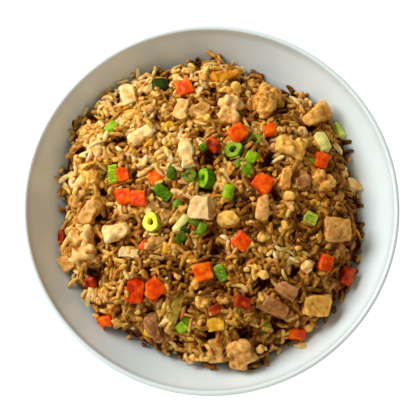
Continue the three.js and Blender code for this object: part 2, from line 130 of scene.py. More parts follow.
CHICKEN_BITS = {
    "pale": [
        (-70, 34.5, 12, 8.5, 7, 100), (8.5, 18.5, 8.5, 5.5, 5, 60), (83.5, 24.5, 6.5, 5, 4, 10),
        (-56, -1, 6, 5, 4, -40), (-19, 6.5, 9, 7, 5, -35), (58, -38, 11, 7, 6, 30),
        (-40.5, 73.5, 7, 6, 5, 20), (53.5, 46.5, 9, 6, 5, -20), (-22, 88, 6, 4.5, 4, 0),
        (-36.5, -3.5, 8, 6, 5, 60),
    ],
    "golden": [
        (-46.5, 55.5, 12, 8, 6, 20), (-1.5, 50.5, 12, 6, 6, 15), (-31, 27.5, 8, 5.5, 5, 40),
        (30.5, -19.5, 10, 7, 6, 80), (27.5, -41.5, 12, 7, 6, -45), (-4.5, -59, 13, 8.5, 6, 90),
        (65, 10.5, 9.5, 6.5, 5, 0), (44.5, -15, 8.5, 6.5, 5, 30), (-49.5, -38.5, 8.5, 6, 5, 30),
        (-54.5, -19.5, 7, 5.5, 5, 0), (-12.5, -34.5, 9.5, 4.5, 4, -30), (12.5, -35.5, 7, 5, 4, 0),
        (-30.5, 4, 6, 5, 4, 60), (12, 71.5, 13, 7, 6, 0), (26.5, 81, 9, 7, 6, -60),
        (60, -71.5, 9, 7, 5, 25), (30.5, -84.5, 9, 6, 5, -30), (46.5, 3, 8, 6, 5, 40),
        (-9, -90, 8, 6, 5, 15), (-77, 49.5, 8, 7, 5, 60),
    ],
    "tan": [
        (-34, -25, 11, 8.5, 6, -20), (23.5, -11.5, 6, 5, 4, 0), (54, 21, 9, 6.5, 5, 20),
        (0.5, -7.5, 5.5, 4, 4, 0), (74, -2, 7, 5, 4, 40), (47.5, -1, 7, 5.5, 5, -30),
        (-38.5, 59, 7, 5.5, 5, 0), (-21.5, 39, 7, 5.5, 5, 0), (-61.5, -57, 9, 6.5, 5, -45),
        (8.5, -58, 7, 5, 4, 30), (-9, -70.5, 9, 5, 4, 25), (-43.5, -67.5, 7, 5, 4, -30),
    ],
}

CARROT_BITS = {
    "bright": [
        (36, 45.5, 8, 7, 5, 20), (-63.5, -68.5, 8.5, 7, 6, 10), (-40.5, -26, 5, 4.5, 4, 50),
    ],
    "dark": [
        (1.5, 34.5, 9, 7, 6, -50), (19, -59.5, 10, 7, 6, -15), (2.5, -63.5, 7, 5.5, 5, 35),
        (-72.5, -46, 6.5, 6, 5, 10),
    ],
}

SCALLION_BITS = {
    "bright": [
        (10.5, 6, 9, 7, 6, 80), (-60.5, 48, 8.5, 7, 5, 50), (-17, -73, 8, 6, 4, 30),
        (24.5, 27.5, 8, 7, 5, 60),
    ],
    "mid": [
        (22, 19.5, 8, 7, 5, -60), (-5.5, -16, 8, 6, 5, 70), (-20, -1, 7, 5, 4, 20),
        (16, 23.5, 6, 5, 4, 30), (32, -72.5, 6, 5, 4, 60), (60, 28, 7, 6, 4, -20),
    ],
    "dark": [
        (-23.5, 18, 8, 5.5, 6, 95), (-17.5, -21.5, 8, 6, 5, 40),
        (-4, 34, 6, 5, 5, 40), (-9.5, -11.5, 8, 6, 5, -30), (-14, -69.5, 6, 5, 4, 0),
        (-75, -11.5, 6, 5, 5, 60),
    ],
    "deep": [(-31.5, 76, 10, 8, 6, 10), (-15, -17, 6, 5, 4, 0)],
}

EGG_BITS = [
    (-27.5, 48, 8, 5, 4, 0), (-36.5, 37, 6, 5, 4, 30), (-46, 32.5, 6, 5, 4, 80),
    (62.5, 2, 7, 5, 4, 10), (42, -6.5, 6, 5, 4, 50), (29, 26.5, 6, 5, 4, 20),
    (-38.5, -75.5, 7, 6, 4, 40), (-26, -28.5, 6, 5, 4, 0), (-63.5, 26.5, 5, 4, 4, 0),
    (-26, 47.5, 10, 6, 5, 0), (-37, 39, 7, 5, 4, 0), (8.5, 10.5, 5.5, 4, 4, 0),
]

# Strips of onion and sprout: x, y, length, width, height, turn, bend.
SLIVERS = {
    "pale": [
        (-73.5, -54.5, 13, 4.5, 1.9, 70, 1.5), (-25.5, -72, 15, 4, 1.9, 75, -1.5),
        (25.5, 44, 9, 3.5, 1.9, 15, 1), (78, 37.5, 10, 4, 1.9, -40, 1),
        (-41, 15, 13, 3, 1.6, -60, 1.5), (-35, 5, 15, 3.5, 1.9, -72, -2),
        (26.5, -24.5, 12, 2.6, 1.6, -50, 2.5), (25, 9.5, 9, 3, 1.9, 35, 1),
        (54, -84, 9, 4, 1.9, -20, 1), (-9, -22.5, 11, 4.5, 1.9, 80, 1),
        (49, -77.5, 9, 4, 1.9, 10, 1),
    ],
    "olive": [(-20, -63, 20, 7, 2.6, 70, 1), (16, -67, 13, 4.5, 2.2, 82, 1)],
}

# Rings of scallion: length, width, height, turn, tip, wall as a share of the radius, and green.
RINGS = {
    "scallion_ring_01": (11.5, 9.5, 6, 20, 20, 0.6, "mid"),
    "scallion_ring_02": (12, 9, 7, 85, 38, 0.62, "leaf"),
    "scallion_ring_03": (12, 10, 6, 100, 15, 0.62, "citron"),
}

# Small rings in the rice: x, y, length, width, height, turn; all are tipped and walled alike.
SMALL_TIP, SMALL_WALL = 12, 0.55
RING_BITS = [(26.5, 38, 9, 8, 5, 20), (-12.5, 16, 8.5, 8, 5, 0)]

# Which way the long side of each scallion strip points, in degrees, and its green.
CUTS = {
    "scallion_cut_01": (-42, "mid"), "scallion_cut_02": (110, "pale"),
    "scallion_cut_03": (95, "lime"), "scallion_cut_04": (115, "sage"),
    "scallion_cut_05": (-25, "soft"),
}

# The carrot dice of another colour than bright, by number.
CARROT_TONES = {8: "orange", 11: "orange", 12: "red", 4: "dark", 15: "dark"}

# How each piece of chicken is browned. Cut pieces keep their flat sides, those with a lump size
# are covered with torn lumps of so many mm, and the rest are rounded and roughened.
CHICKEN_TONES = {
    "white": [17],
    "cream": [1, 2, 8, 16],
    "pale": [4, 6, 14, 23],
    "golden": [10, 11, 18, 27],
    "toasted": [7, 9, 20, 22],
    "amber": [3],
    "tan": [5, 12, 13, 15, 19, 24, 29, 30],
    "rosy": [21, 25, 26, 28],
}
CUT_CHICKEN = [1, 15, 17, 24, 25, 26, 27, 28]
LUMP_SIZES = {6: 6.5, 7: 7.5, 10: 6.5, 11: 6.0, 14: 6.5, 22: 5.5, 29: 8.0}
BARE_CHICKEN = CUT_CHICKEN + [9, 20, 22, 23, 29]  # no stray grain lies on these

# ---- Noise and height fields


def scrambled(key, seed):
    """A fixed random number from -1 to 1 for each row of whole numbers."""
    mixed = key[..., 0] * 73856093 ^ key[..., 1] * 19349663 ^ key[..., 2] * 83492791
    mixed = (mixed + seed * 7919) * 1274126177 & 0x7FFFFFFF
    mixed = (mixed ^ mixed >> 15) * 2246822519 & 0x7FFFFFFF
    return (mixed ^ mixed >> 13) % 65536 / 32767.5 - 1


def smooth_noise(points, size, seed):
    """Smooth noise from about -1 to 1 at each point; size is its grain in mm."""
    place = np.asarray(points, float) / size
    cell = np.floor(place).astype(np.int64)
    part = place - cell
    part = part * part * (3 - 2 * part)
    total = np.zeros(place.shape[:-1])
    for corner in np.ndindex(2, 2, 2):
        weight = np.prod(np.where(corner, part, 1 - part), axis=-1)
        total += weight * scrambled(cell + np.array(corner), seed)
    return total


def knobs(points, size, seed):
    """Round knobs about that many mm apart: 1 on their tops, 0 in the creases between them; and a
    fixed random number from -1 to 1 for each knob."""
    place = np.asarray(points, float) / size
    cell = np.floor(place).astype(np.int64)
    nearest = np.full(place.shape[:-1], 9.0)
    mark = np.zeros(place.shape[:-1])
    for dx, dy in np.ndindex(3, 3):
        key = cell + np.array((dx - 1, dy - 1, 0))
        jitter = np.stack([scrambled(key, seed + 31 * k) for k in range(2)], axis=-1)
        away = np.linalg.norm(key[..., :2] + 0.5 + 0.45 * jitter - place[..., :2], axis=-1)
        mark = np.where(away < nearest, scrambled(key, seed + 5), mark)
        nearest = np.minimum(nearest, away)
    return np.sqrt(np.clip(1 - nearest ** 2, 0, 1)), mark


CELL = 0.5
HALF = 108.0
COUNT = int(2 * HALF / CELL) + 1
AXIS = np.linspace(-HALF, HALF, COUNT)
GRID_X, GRID_Y = np.meshgrid(AXIS, AXIS)


def inner_height(radius):
    climb = np.maximum(0, radius - FLOOR_RADIUS) / (BOWL_RADIUS - WALL / 2 - FLOOR_RADIUS)
    return FLOOR_HEIGHT + (BOWL_HEIGHT - WALL / 2 - FLOOR_HEIGHT) * climb ** WALL_POWER


def reach(angle):
    count = len(HEAP_REACH)
    place = np.mod(angle / (2 * math.pi) * count, count)
    before = np.floor(place).astype(int) % count
    part = place - np.floor(place)
    part = part * part * (3 - 2 * part)
    rows = np.array(HEAP_REACH, float)
    return rows[before] * (1 - part) + rows[(before + 1) % count] * part


def dome(x, y):
    """The heap's plain dome without lumps, and how far out a point is as a share of the reach."""
    edge = reach(np.arctan2(y, x))
    share = np.hypot(x, y) / edge
    foot = inner_height(edge)
    rise = (1 - np.clip(share, 0, 1) ** DOME_POWER) ** DOME_SHOULDER
    return foot + (HEAP_CREST - foot) * rise, share


def tops(meshes):
    """Height of the highest of these meshes over each cell, nan where there is none."""
    corners, faces = [], []
    for verts, polygons in meshes:
        faces += [tuple(len(corners) + i for i in polygon) for polygon in polygons]
        corners += [tuple(v) for v in verts]
    tree = BVHTree.FromPolygons(corners, faces)
    down = Vector((0, 0, -1))
    field = np.full((COUNT, COUNT), np.nan)
    low = np.min(corners, axis=0) - CELL
    high = np.max(corners, axis=0) + CELL
    for row in np.flatnonzero((AXIS > low[1]) & (AXIS < high[1])):
        for column in np.flatnonzero((AXIS > low[0]) & (AXIS < high[0])):
            hit = tree.ray_cast(Vector((AXIS[column], AXIS[row], 200)), down)[0]
            if hit is not None:
                field[row, column] = hit.z
    return field


def node_mesh(name):
    mesh = nodes[name].data
    verts = np.empty(len(mesh.vertices) * 3, np.float32)
    mesh.vertices.foreach_get("co", verts)
    return verts.reshape(-1, 3).astype(float) / MM, [tuple(p.vertices) for p in mesh.polygons]


def blurred(field, spread):
    """A field blurred by a bell curve of that spread in mm."""
    steps = int(3 * spread / CELL)
    weights = np.exp(-0.5 * (np.arange(-steps, steps + 1) * CELL / spread) ** 2)
    weights /= weights.sum()
    for axis in (0, 1):
        total = np.zeros_like(field)
        for offset, weight in zip(range(-steps, steps + 1), weights):
            total += weight * np.roll(field, offset, axis)
        field = total
    return field


def shrunk(mask, distance):
    """A mask without its outermost cells, to that distance in mm."""
    steps = int(round(distance / CELL))
    kept = mask.copy()
    for dy in range(-steps, steps + 1):
        for dx in range(-steps, steps + 1):
            if dx * dx + dy * dy <= steps * steps:
                kept &= np.roll(np.roll(mask, dy, 0), dx, 1)
    return kept


def at(field, x, y):
    """The field's value at the nearest cell."""
    row = np.clip(np.rint((np.asarray(y) + HALF) / CELL).astype(int), 0, COUNT - 1)
    column = np.clip(np.rint((np.asarray(x) + HALF) / CELL).astype(int), 0, COUNT - 1)
    return field[row, column]


def sampled(field, x, y):
    """The field's value at a point between its cells."""
    column = np.clip((np.asarray(x) + HALF) / CELL, 0, COUNT - 1.001)
    row = np.clip((np.asarray(y) + HALF) / CELL, 0, COUNT - 1.001)
    i, j = row.astype(int), column.astype(int)
    up, right = row - i, column - j
    low = field[i, j] * (1 - right) + field[i, j + 1] * right
    high = field[i + 1, j] * (1 - right) + field[i + 1, j + 1] * right
    return low * (1 - up) + high * up


TOPPINGS = sorted(name for name in nodes if name not in ("bowl", "rice_heap"))
bowl_top = inner_height(np.hypot(GRID_X, GRID_Y)) + OFF_GLAZE
DOME, SHARE = dome(GRID_X, GRID_Y)
node_tops = tops([node_mesh(name) for name in TOPPINGS])
heap_tops = tops([node_mesh("rice_heap")])


def bare_rice():
    """The rice as it lies without the nests under the toppings: the dome with the heap's lumps."""
    clear = shrunk(np.isnan(node_tops), 3.0) & ~np.isnan(heap_tops) & (SHARE < 0.97)
    extra = np.where(clear, heap_tops - DOME, 0.0)
    weight = blurred(clear.astype(float), 4.0) + 1e-4
    lumps = blurred(extra, 4.0) / weight
    return np.maximum(DOME + lumps * np.clip(4 * (1 - SHARE), 0, 1), bowl_top)


BARE = bare_rice()


def bare_normal(x, y, step=6.0):
    dx = float(at(BARE, x + step, y) - at(BARE, x - step, y))
    dy = float(at(BARE, x, y + step) - at(BARE, x, y - step))
    return Vector((-dx, -dy, 2 * step)).normalized()


def sunk_shade(verts, depth=5.0, start=2.0):
    """How much painted shade each point gets for lying low: 0 above the rice, 1 well under its top."""
    under = at(BARE, verts[:, 0], verts[:, 1]) + start - verts[:, 2]
    return np.clip(under / depth, 0, 1)


# ---- Making meshes


def new_mesh(name, verts, faces, attributes=None):
    mesh = bpy.data.meshes.new(name)
    mesh.from_pydata((np.asarray(verts) * MM).tolist(), [], [tuple(map(int, f)) for f in faces])
    for key, values in (attributes or {}).items():
        layer = mesh.attributes.new(key, "FLOAT", "POINT")
        layer.data.foreach_set("value", np.asarray(values, np.float32))
    mesh.polygons.foreach_set("use_smooth", np.ones(len(mesh.polygons), bool))
    mesh.update()
    return mesh


def linked(name, data):
    """A new object of the scene."""
    obj = bpy.data.objects.new(name, data)
    bpy.context.scene.collection.objects.link(obj)
    return obj


def piece(name, shape, material, replaced=()):
    """A piece of the part from a shape's verts, faces and attributes."""
    obj = linked(name, new_mesh(name, *shape))
    obj.data.materials.append(material)
    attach(obj, "root")
    if replaced:
        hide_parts(*replaced)


def joined(parts):
    """Several (verts, faces, attributes) as one."""
    verts, faces, attributes, start = [], [], {}, 0
    for v, f, a in parts:
        verts.append(v)
        faces += [tuple(start + i for i in polygon) for polygon in f]
        for key, values in a.items():
            attributes.setdefault(key, []).append(values)
        start += len(v)
    return np.vstack(verts), faces, {k: np.concatenate(v) for k, v in attributes.items()}


def vertex_normals(verts, faces):
    normals = np.zeros_like(verts)
    for size in {len(f) for f in faces}:
        rows = np.array([f for f in faces if len(f) == size])
        a, b, c = verts[rows[:, 0]], verts[rows[:, 1]], verts[rows[:, -1]]
        square = np.cross(b - a, c - a)
        for corner in range(size):
            np.add.at(normals, rows[:, corner], square)
    return normals / np.maximum(np.linalg.norm(normals, axis=1, keepdims=True), 1e-9)


def melted(mesh, voxel, rounds):
    """Takes a mesh away and gives it as one closed skin of even small faces, smoothed, in mm."""
    temporary = linked("temporary", mesh)
    fine = temporary.modifiers.new("fine", "REMESH")
    fine.mode = "VOXEL"
    fine.voxel_size = voxel * MM
    soft = temporary.modifiers.new("soft", "SMOOTH")
    soft.factor = 0.5
    soft.iterations = rounds
    graph = bpy.context.evaluated_depsgraph_get()
    made = bpy.data.meshes.new_from_object(temporary.evaluated_get(graph))
    bpy.data.objects.remove(temporary)
    verts = np.empty(len(made.vertices) * 3, np.float32)
    made.vertices.foreach_get("co", verts)
    verts = verts.reshape(-1, 3).astype(float) / MM
    faces = [tuple(p.vertices) for p in made.polygons]
    bpy.data.meshes.remove(made)
    bpy.data.meshes.remove(mesh)
    return verts, faces


def lit_peaks(verts, faces, rounds=18, depth=0.7):
    """How far each point stands out, for painted light and shade: 0 in creases, 1 on tops, and less on
    sides.
    """
    rows = np.array([f if len(f) == 4 else (*f, f[2]) for f in faces])
    starts = rows.ravel()
    ends = np.roll(rows, -1, axis=1).ravel()
    shares = np.bincount(starts, minlength=len(verts)) + np.bincount(ends, minlength=len(verts))
    smooth = verts.copy()
    for _ in range(rounds):
        total = np.stack([
            np.bincount(starts, smooth[ends, axis], len(verts))
            + np.bincount(ends, smooth[starts, axis], len(verts))
            for axis in range(3)
        ], axis=1)
        smooth = total / np.maximum(shares, 1)[:, None]
    normals = vertex_normals(verts, faces)
    height = ((verts - smooth) * normals).sum(1)
    # Sides that face away from the sky get less painted light.
    facing_up = np.clip(1.3 * normals[:, 2], 0, 1)
    return np.clip(0.5 + height / (2 * depth), 0, 1) * (0.6 + 0.4 * facing_up)


def marked(verts, faces, **shading):
    """A shape with attributes for painted light where it stands out and painted shade low in the rice.
    """
    return verts, faces, {"deep_shade": sunk_shade(verts, **shading), "peak_light": lit_peaks(verts, faces)}


def fused(parts, voxel, rounds):
    """Several (verts, faces, attributes) melted together into one closed skin."""
    verts, faces, _ = joined(parts)
    return melted(new_mesh("melting", verts, faces), voxel, rounds)


def refined(name, voxel, rounds):
    """A solid's own mesh, remeshed finely and smoothed, in mm."""
    return melted(nodes[name].data.copy(), voxel, rounds)


# ---- Materials


def linear(color):
    """A colour of 0 to 255 as the shader's linear values."""
    shares = np.array(color, float) / 255
    return (*np.where(shares <= 0.04045, shares / 12.92, ((shares + 0.055) / 1.055) ** 2.4), 1.0)


class Shader:
    """A material's node tree, built a node at a time."""

    def __init__(self, name, **values):
        self.material = bpy.data.materials.new(name)
        self.material.use_nodes = True
        self.tree = self.material.node_tree
        self.surface = self.tree.nodes["Principled BSDF"]
        for key, value in values.items():
            self.surface.inputs[key.replace("_", " ")].default_value = value
        self.coordinates = self.tree.nodes.new("ShaderNodeTexCoord").outputs["Object"]

    def node(self, kind, **settings):
        made = self.tree.nodes.new(kind)
        for key, value in settings.items():
            setattr(made, key, value)
        return made

    def plug(self, source, target):
        self.tree.links.new(source, target)

    def stretched(self, turn, factors):
        """Coordinates turned about Z and scaled, for grain that runs one way."""
        mapping = self.node("ShaderNodeMapping")
        mapping.inputs["Rotation"].default_value = (0, 0, turn)
        mapping.inputs["Scale"].default_value = factors
        self.plug(self.coordinates, mapping.inputs["Vector"])
        return mapping.outputs["Vector"]

    def noise(self, size, detail=3.0, roughness=0.55, vector=None, distortion=0.0):
        """Noise whose features are about that many mm across."""
        made = self.node("ShaderNodeTexNoise")
        made.inputs["Scale"].default_value = 1 / (size * MM)
        made.inputs["Detail"].default_value = detail
        made.inputs["Roughness"].default_value = roughness
        made.inputs["Distortion"].default_value = distortion
        self.plug(vector or self.coordinates, made.inputs["Vector"])
        return made.outputs["Fac"]

    def ramp(self, factor, stops):
        """A ramp of (place, colour) over a factor."""
        made = self.node("ShaderNodeValToRGB")
        band = made.color_ramp
        while len(band.elements) < len(stops):
            band.elements.new(0.5)
        for element, (place, color) in zip(band.elements, stops):
            element.position = place
            element.color = linear(color)
        self.plug(factor, made.inputs["Fac"])
        return made.outputs["Color"]

    def mix(self, factor, first, second, blend="MIX"):
        made = self.node("ShaderNodeMix", data_type="RGBA", blend_type=blend)
        for value, socket in ((factor, 0), (first, 6), (second, 7)):
            if isinstance(value, bpy.types.NodeSocket):
                self.plug(value, made.inputs[socket])
            else:
                made.inputs[socket].default_value = value
        return made.outputs[2]

    def spread(self, factor, low, high, to_low=0.0, to_high=1.0):
        made = self.node("ShaderNodeMapRange", interpolation_type="SMOOTHSTEP")
        self.plug(factor, made.inputs["Value"])
        ends = {"From Min": low, "From Max": high, "To Min": to_low, "To Max": to_high}
        for key, value in ends.items():
            made.inputs[key].default_value = value
        return made.outputs["Result"]

    def gray(self, value):
        """A value as a colour, so that it can be mixed with another."""
        made = self.node("ShaderNodeCombineColor")
        for socket in made.inputs:
            self.plug(value, socket)
        return made.outputs["Color"]

    def attribute(self, name):
        return self.node("ShaderNodeAttribute", attribute_name=name).outputs["Fac"]

    def color(self, source):
        self.plug(source, self.surface.inputs["Base Color"])

    def rough(self, source):
        self.plug(source, self.surface.inputs["Roughness"])

    def bump(self, height, distance, strength=0.6):
        made = self.node("ShaderNodeBump")
        made.inputs["Strength"].default_value = strength
        made.inputs["Distance"].default_value = distance * MM
        self.plug(height, made.inputs["Height"])
        self.plug(made.outputs["Normal"], self.surface.inputs["Normal"])


def glaze_material():
    shader = Shader("white_glaze", Roughness=0.2, Coat_Weight=0.35, Coat_Roughness=0.06)
    cloud = shader.noise(26, 2)
    shader.color(shader.ramp(cloud, [(0.35, (227, 239, 241)), (0.65, (231, 243, 245))]))
    shader.rough(shader.spread(shader.noise(9, 3), 0.3, 0.7, 0.16, 0.26))
    shader.bump(shader.noise(16, 2), 0.12, 0.25)
    return shader.material


# Painted shade: dark brown for rice deep in the pile, brown for the grooves between grains, dark red for
# carrot low in the rice.
DEEP_SHADE_COLOR = (78, 28, 1)
GROOVE_SHADE_COLOR = (118, 58, 8)
CARROT_DEEP_SHADE = (128, 24, 1)


def oily(name, radius, scale, weight=0.22, specular=0.16, coat=0.06):
    """A food surface with a thin film of oil that lets some light in."""
    shader = Shader(
        name, Roughness=0.38, Subsurface_Weight=weight, Subsurface_Scale=scale,
        Specular_IOR_Level=specular, Coat_Weight=coat, Coat_Roughness=0.12,
    )
    shader.surface.inputs["Subsurface Radius"].default_value = radius
    return shader


def rice_material():
    """Cooked rice: the attribute tone takes each grain from brown to pale, partly as painted light and
    shade;
    two slow tints make it rosier or yellower in places, and painted shade darkens what lies deep and the
    grooves."""
    shader = oily("rice", (1.0, 0.72, 0.36), 0.0026, weight=0.85, specular=0.09, coat=0.03)
    mottle = shader.spread(shader.noise(2.6, 2), 0.3, 0.7)
    own = shader.mix(0.25, shader.gray(shader.attribute("tone")), shader.gray(mottle))
    shade = shader.ramp(own, [
        (0.06, (92, 49, 6)), (0.28, (144, 92, 22)), (0.5, (199, 147, 62)), (0.7, (236, 196, 122)),
        (0.9, (253, 226, 180)),
    ])
    warm = shader.ramp(shader.noise(5.5, 2), [
        (0.34, (255, 228, 204)), (0.5, (255, 250, 244)), (0.66, (246, 255, 255)),
    ])
    lemon = shader.ramp(shader.noise(9.0, 2, distortion=0.5), [
        (0.36, (255, 255, 208)), (0.6, (255, 250, 255)),
    ])
    for tint in (warm, lemon):
        shade = shader.mix(1.0, shade, tint, "MULTIPLY")
    # Painted shade in the grooves between grains and deep in the pile.
    groove_shade = shader.spread(shader.attribute("groove_shade"), 0.0, 1.0, 0.0, 0.75)
    groove_shaded = shader.mix(groove_shade, shade, linear(GROOVE_SHADE_COLOR))
    deep = shader.spread(shader.attribute("deep_shade"), 0.1, 1.0)
    shader.color(shader.mix(deep, groove_shaded, linear(DEEP_SHADE_COLOR)))
    return shader.material


def browned_material(name, light, middle, dark, browning, size=7.0):
    """Chicken or egg: painted light where it stands out, painted golden shade in its creases and on its
    sides, a few browned patches, and painted shade low down in the rice."""
    shader = oily(name, (1.0, 0.6, 0.28), 0.0018, weight=0.35, specular=0.1, coat=0.04)
    cloud = shader.spread(shader.noise(3.6, 3, 0.6), 0.3, 0.7)
    fibres = shader.noise(1.0, 2, vector=shader.stretched(0.8, (0.4, 1.0, 1.0)), distortion=0.8)
    # Painted light on what stands out and faces up, painted shade in creases and on sides.
    relief = shader.mix(0.4, shader.gray(shader.attribute("peak_light")), shader.gray(cloud))
    relief = shader.mix(0.22, relief, shader.gray(shader.spread(fibres, 0.3, 0.7)))
    flesh = shader.ramp(relief, [(0.2, dark), (0.5, middle), (0.8, light)])
    patches = shader.noise(size, 4, 0.65, distortion=0.6)
    seared = shader.spread(patches, 0.6 - browning, 0.85 - browning, 0.0, 0.6)
    browned = shader.mix(seared, flesh, linear(dark))
    deep = shader.spread(shader.attribute("deep_shade"), 0.15, 1.0, 0.0, 0.9)
    # Painted shade low down in the rice: a darker copy of the dark colour.
    shader.color(shader.mix(deep, browned, linear(tuple(0.62 * c for c in dark))))
    shader.bump(shader.noise(1.2, 2), 0.08, 0.3)
    return shader.material


def carrot_material(name, stops):
    shader = oily(name, (1.0, 0.35, 0.08), 0.002, weight=0.35, specular=0.12, coat=0.05)
    cloud = shader.spread(shader.noise(4.0, 3), 0.3, 0.7)
    # Peaks lighter and creases darker: painted light and shade.
    tone = shader.mix(0.65, shader.gray(shader.attribute("peak_light")), shader.gray(cloud))
    # Painted shade low down in the rice, in a dark red.
    deep = shader.spread(shader.attribute("deep_shade"), 0.1, 0.9, 0.0, 0.85)
    shader.color(shader.mix(deep, shader.ramp(tone, stops), linear(CARROT_DEEP_SHADE)))
    shader.bump(shader.noise(0.9, 3, vector=shader.stretched(0.3, (1.0, 0.4, 1.0))), 0.12, 0.5)
    return shader.material


def scallion_material(name, skin, flesh, veined=0.62):
    """Green skin with fine veins, and paler flesh where the attribute tone is 1."""
    shader = oily(name, (1.0, 1.0, 0.4), 0.0008, weight=0.2, specular=0.08, coat=0.04)
    veins = shader.noise(0.9, 2, vector=shader.stretched(0.9, (0.3, 1.0, 1.0)))
    dark = tuple(veined * c for c in skin)
    outside = shader.mix(shader.spread(veins, 0.35, 0.7), linear(dark), linear(skin))
    mottle = shader.noise(3.0, 2)
    inside = shader.mix(shader.spread(mottle, 0.45, 0.7), linear(flesh), linear(skin))
    shader.color(shader.mix(shader.attribute("tone"), outside, inside))
    shader.bump(veins, 0.1, 0.5)
    return shader.material


def soft_material(name, stops, size, radius):
    """Egg, celery and onion: soft, a little see-through, slow changes of colour, painted shade low down.
    """
    shader = oily(name, radius, 0.002)
    deep = shader.spread(shader.attribute("deep_shade"), 0.3, 1.0, 0.0, 0.8)
    # Painted shade low down in the rice: a darker copy of the first colour.
    under = tuple(0.45 * c for c in stops[0][1])
    shader.color(shader.mix(deep, shader.ramp(shader.noise(size, 3), stops), linear(under)))
    shader.bump(shader.noise(1.2, 2), 0.12, 0.5)
    return shader.material


GLAZE = glaze_material()
RICE = rice_material()

# Chicken and crumbs: their light, middle and dark colours, laid on as painted light on tops and painted
# shade in creases and low down, the dark one also for seared patches; and how much of them is seared.
CHICKEN = {tone: browned_material("chicken_" + tone, *row) for tone, row in {
    "white": ((242, 211, 156), (226, 184, 116), (188, 126, 51), 0.0),
    "cream": ((255, 228, 168), (247, 204, 122), (210, 140, 52), 0.0),
    "pale": ((253, 217, 150), (243, 188, 102), (200, 120, 32), 0.02),
    "golden": ((253, 211, 118), (236, 170, 64), (172, 94, 12), 0.05),
    "toasted": ((250, 200, 112), (224, 152, 58), (152, 78, 8), 0.06),
    "amber": ((246, 178, 56), (222, 132, 14), (154, 72, 2), 0.05),
    "tan": ((236, 182, 106), (208, 148, 68), (144, 82, 18), 0.06),
    "rosy": ((198, 140, 86), (162, 102, 50), (106, 54, 16), 0.08),
}.items()}
CRUMB = {tone: browned_material("crumb_" + tone, *row, size=9.0) for tone, row in {
    "cream": ((252, 216, 146), (241, 188, 102), (188, 114, 30), 0.02),
    "golden": ((246, 190, 98), (220, 150, 52), (148, 76, 8), 0.08),
    "beige": ((232, 178, 106), (198, 136, 64), (130, 70, 14), 0.08),
    "egg": ((246, 182, 50), (224, 142, 14), (158, 80, 2), 0.05),
}.items()}
# Carrot: its colours from the creases to the peaks, as painted shade in the creases and painted light on
# the peaks.
CARROT = {tone: carrot_material("carrot_" + tone, stops) for tone, stops in {
    "bright": [(0.2, (214, 52, 1)), (0.45, (235, 76, 1)), (0.65, (244, 94, 2)), (0.88, (250, 122, 10))],
    "orange": [(0.2, (222, 68, 1)), (0.45, (241, 94, 1)), (0.65, (249, 112, 4)), (0.88, (254, 138, 18))],
    "red": [(0.2, (178, 32, 1)), (0.45, (208, 50, 1)), (0.65, (226, 68, 2)), (0.88, (238, 96, 8))],
    "dark": [(0.2, (112, 20, 1)), (0.45, (150, 34, 1)), (0.65, (184, 52, 2)), (0.85, (214, 84, 8))],
}.items()}
# Scallion: its skin and flesh, and for one of them how bright its veins are; the pale one is made bright
# as painted light, against the shade where it lies.
SCALLION = {tone: scallion_material("scallion_" + tone, *row) for tone, row in {
    "pale": ((240, 255, 110), (252, 255, 160), 0.88),
    "bright": ((140, 190, 8), (178, 204, 40)),
    "leaf": ((98, 158, 6), (146, 192, 24)),
    "mid": ((96, 140, 6), (148, 174, 34)),
    "dark": ((58, 88, 2), (120, 140, 18)),
    "deep": ((22, 46, 4), (56, 78, 10)),
    "lime": ((184, 218, 8), (232, 226, 70)),
    "citron": ((214, 222, 14), (246, 236, 96)),
    "sage": ((144, 180, 44), (184, 204, 84)),
    "soft": ((196, 214, 62), (232, 230, 128)),
}.items()}
# Soft things: their colours, mm across their clouds, and how far red, green and blue go in.
SOFT = {name: soft_material(name, *row) for name, row in {
    "egg_yellow": (
        [(0.3, (216, 142, 10)), (0.5, (238, 176, 34)), (0.7, (246, 204, 92))], 3.0, (1.0, 0.6, 0.2),
    ),
    "egg_white": ([(0.3, (216, 168, 84)), (0.6, (242, 214, 156))], 3.0, (1.0, 0.8, 0.5)),
    "celery_pale": ([(0.3, (208, 198, 92)), (0.6, (238, 226, 138))], 4.0, (0.9, 1.0, 0.4)),
    "onion_pale": ([(0.3, (206, 160, 78)), (0.6, (238, 204, 132))], 3.0, (1.0, 0.8, 0.4)),
    "onion_olive": ([(0.3, (136, 104, 18)), (0.6, (186, 154, 54))], 3.0, (1.0, 0.9, 0.3)),
}.items()}

# ---- The bowl


def outer_point(radius):
    step = 0.5
    slope = (inner_height(radius + step) - inner_height(radius - step)) / (2 * step)
    length = math.hypot(1, slope)
    share = (radius - FLOOR_RADIUS) / (LIP_RADIUS - FLOOR_RADIUS)
    thickness = BASE + (WALL - BASE) * share
    return radius + thickness * slope / length, float(inner_height(radius)) - thickness / length


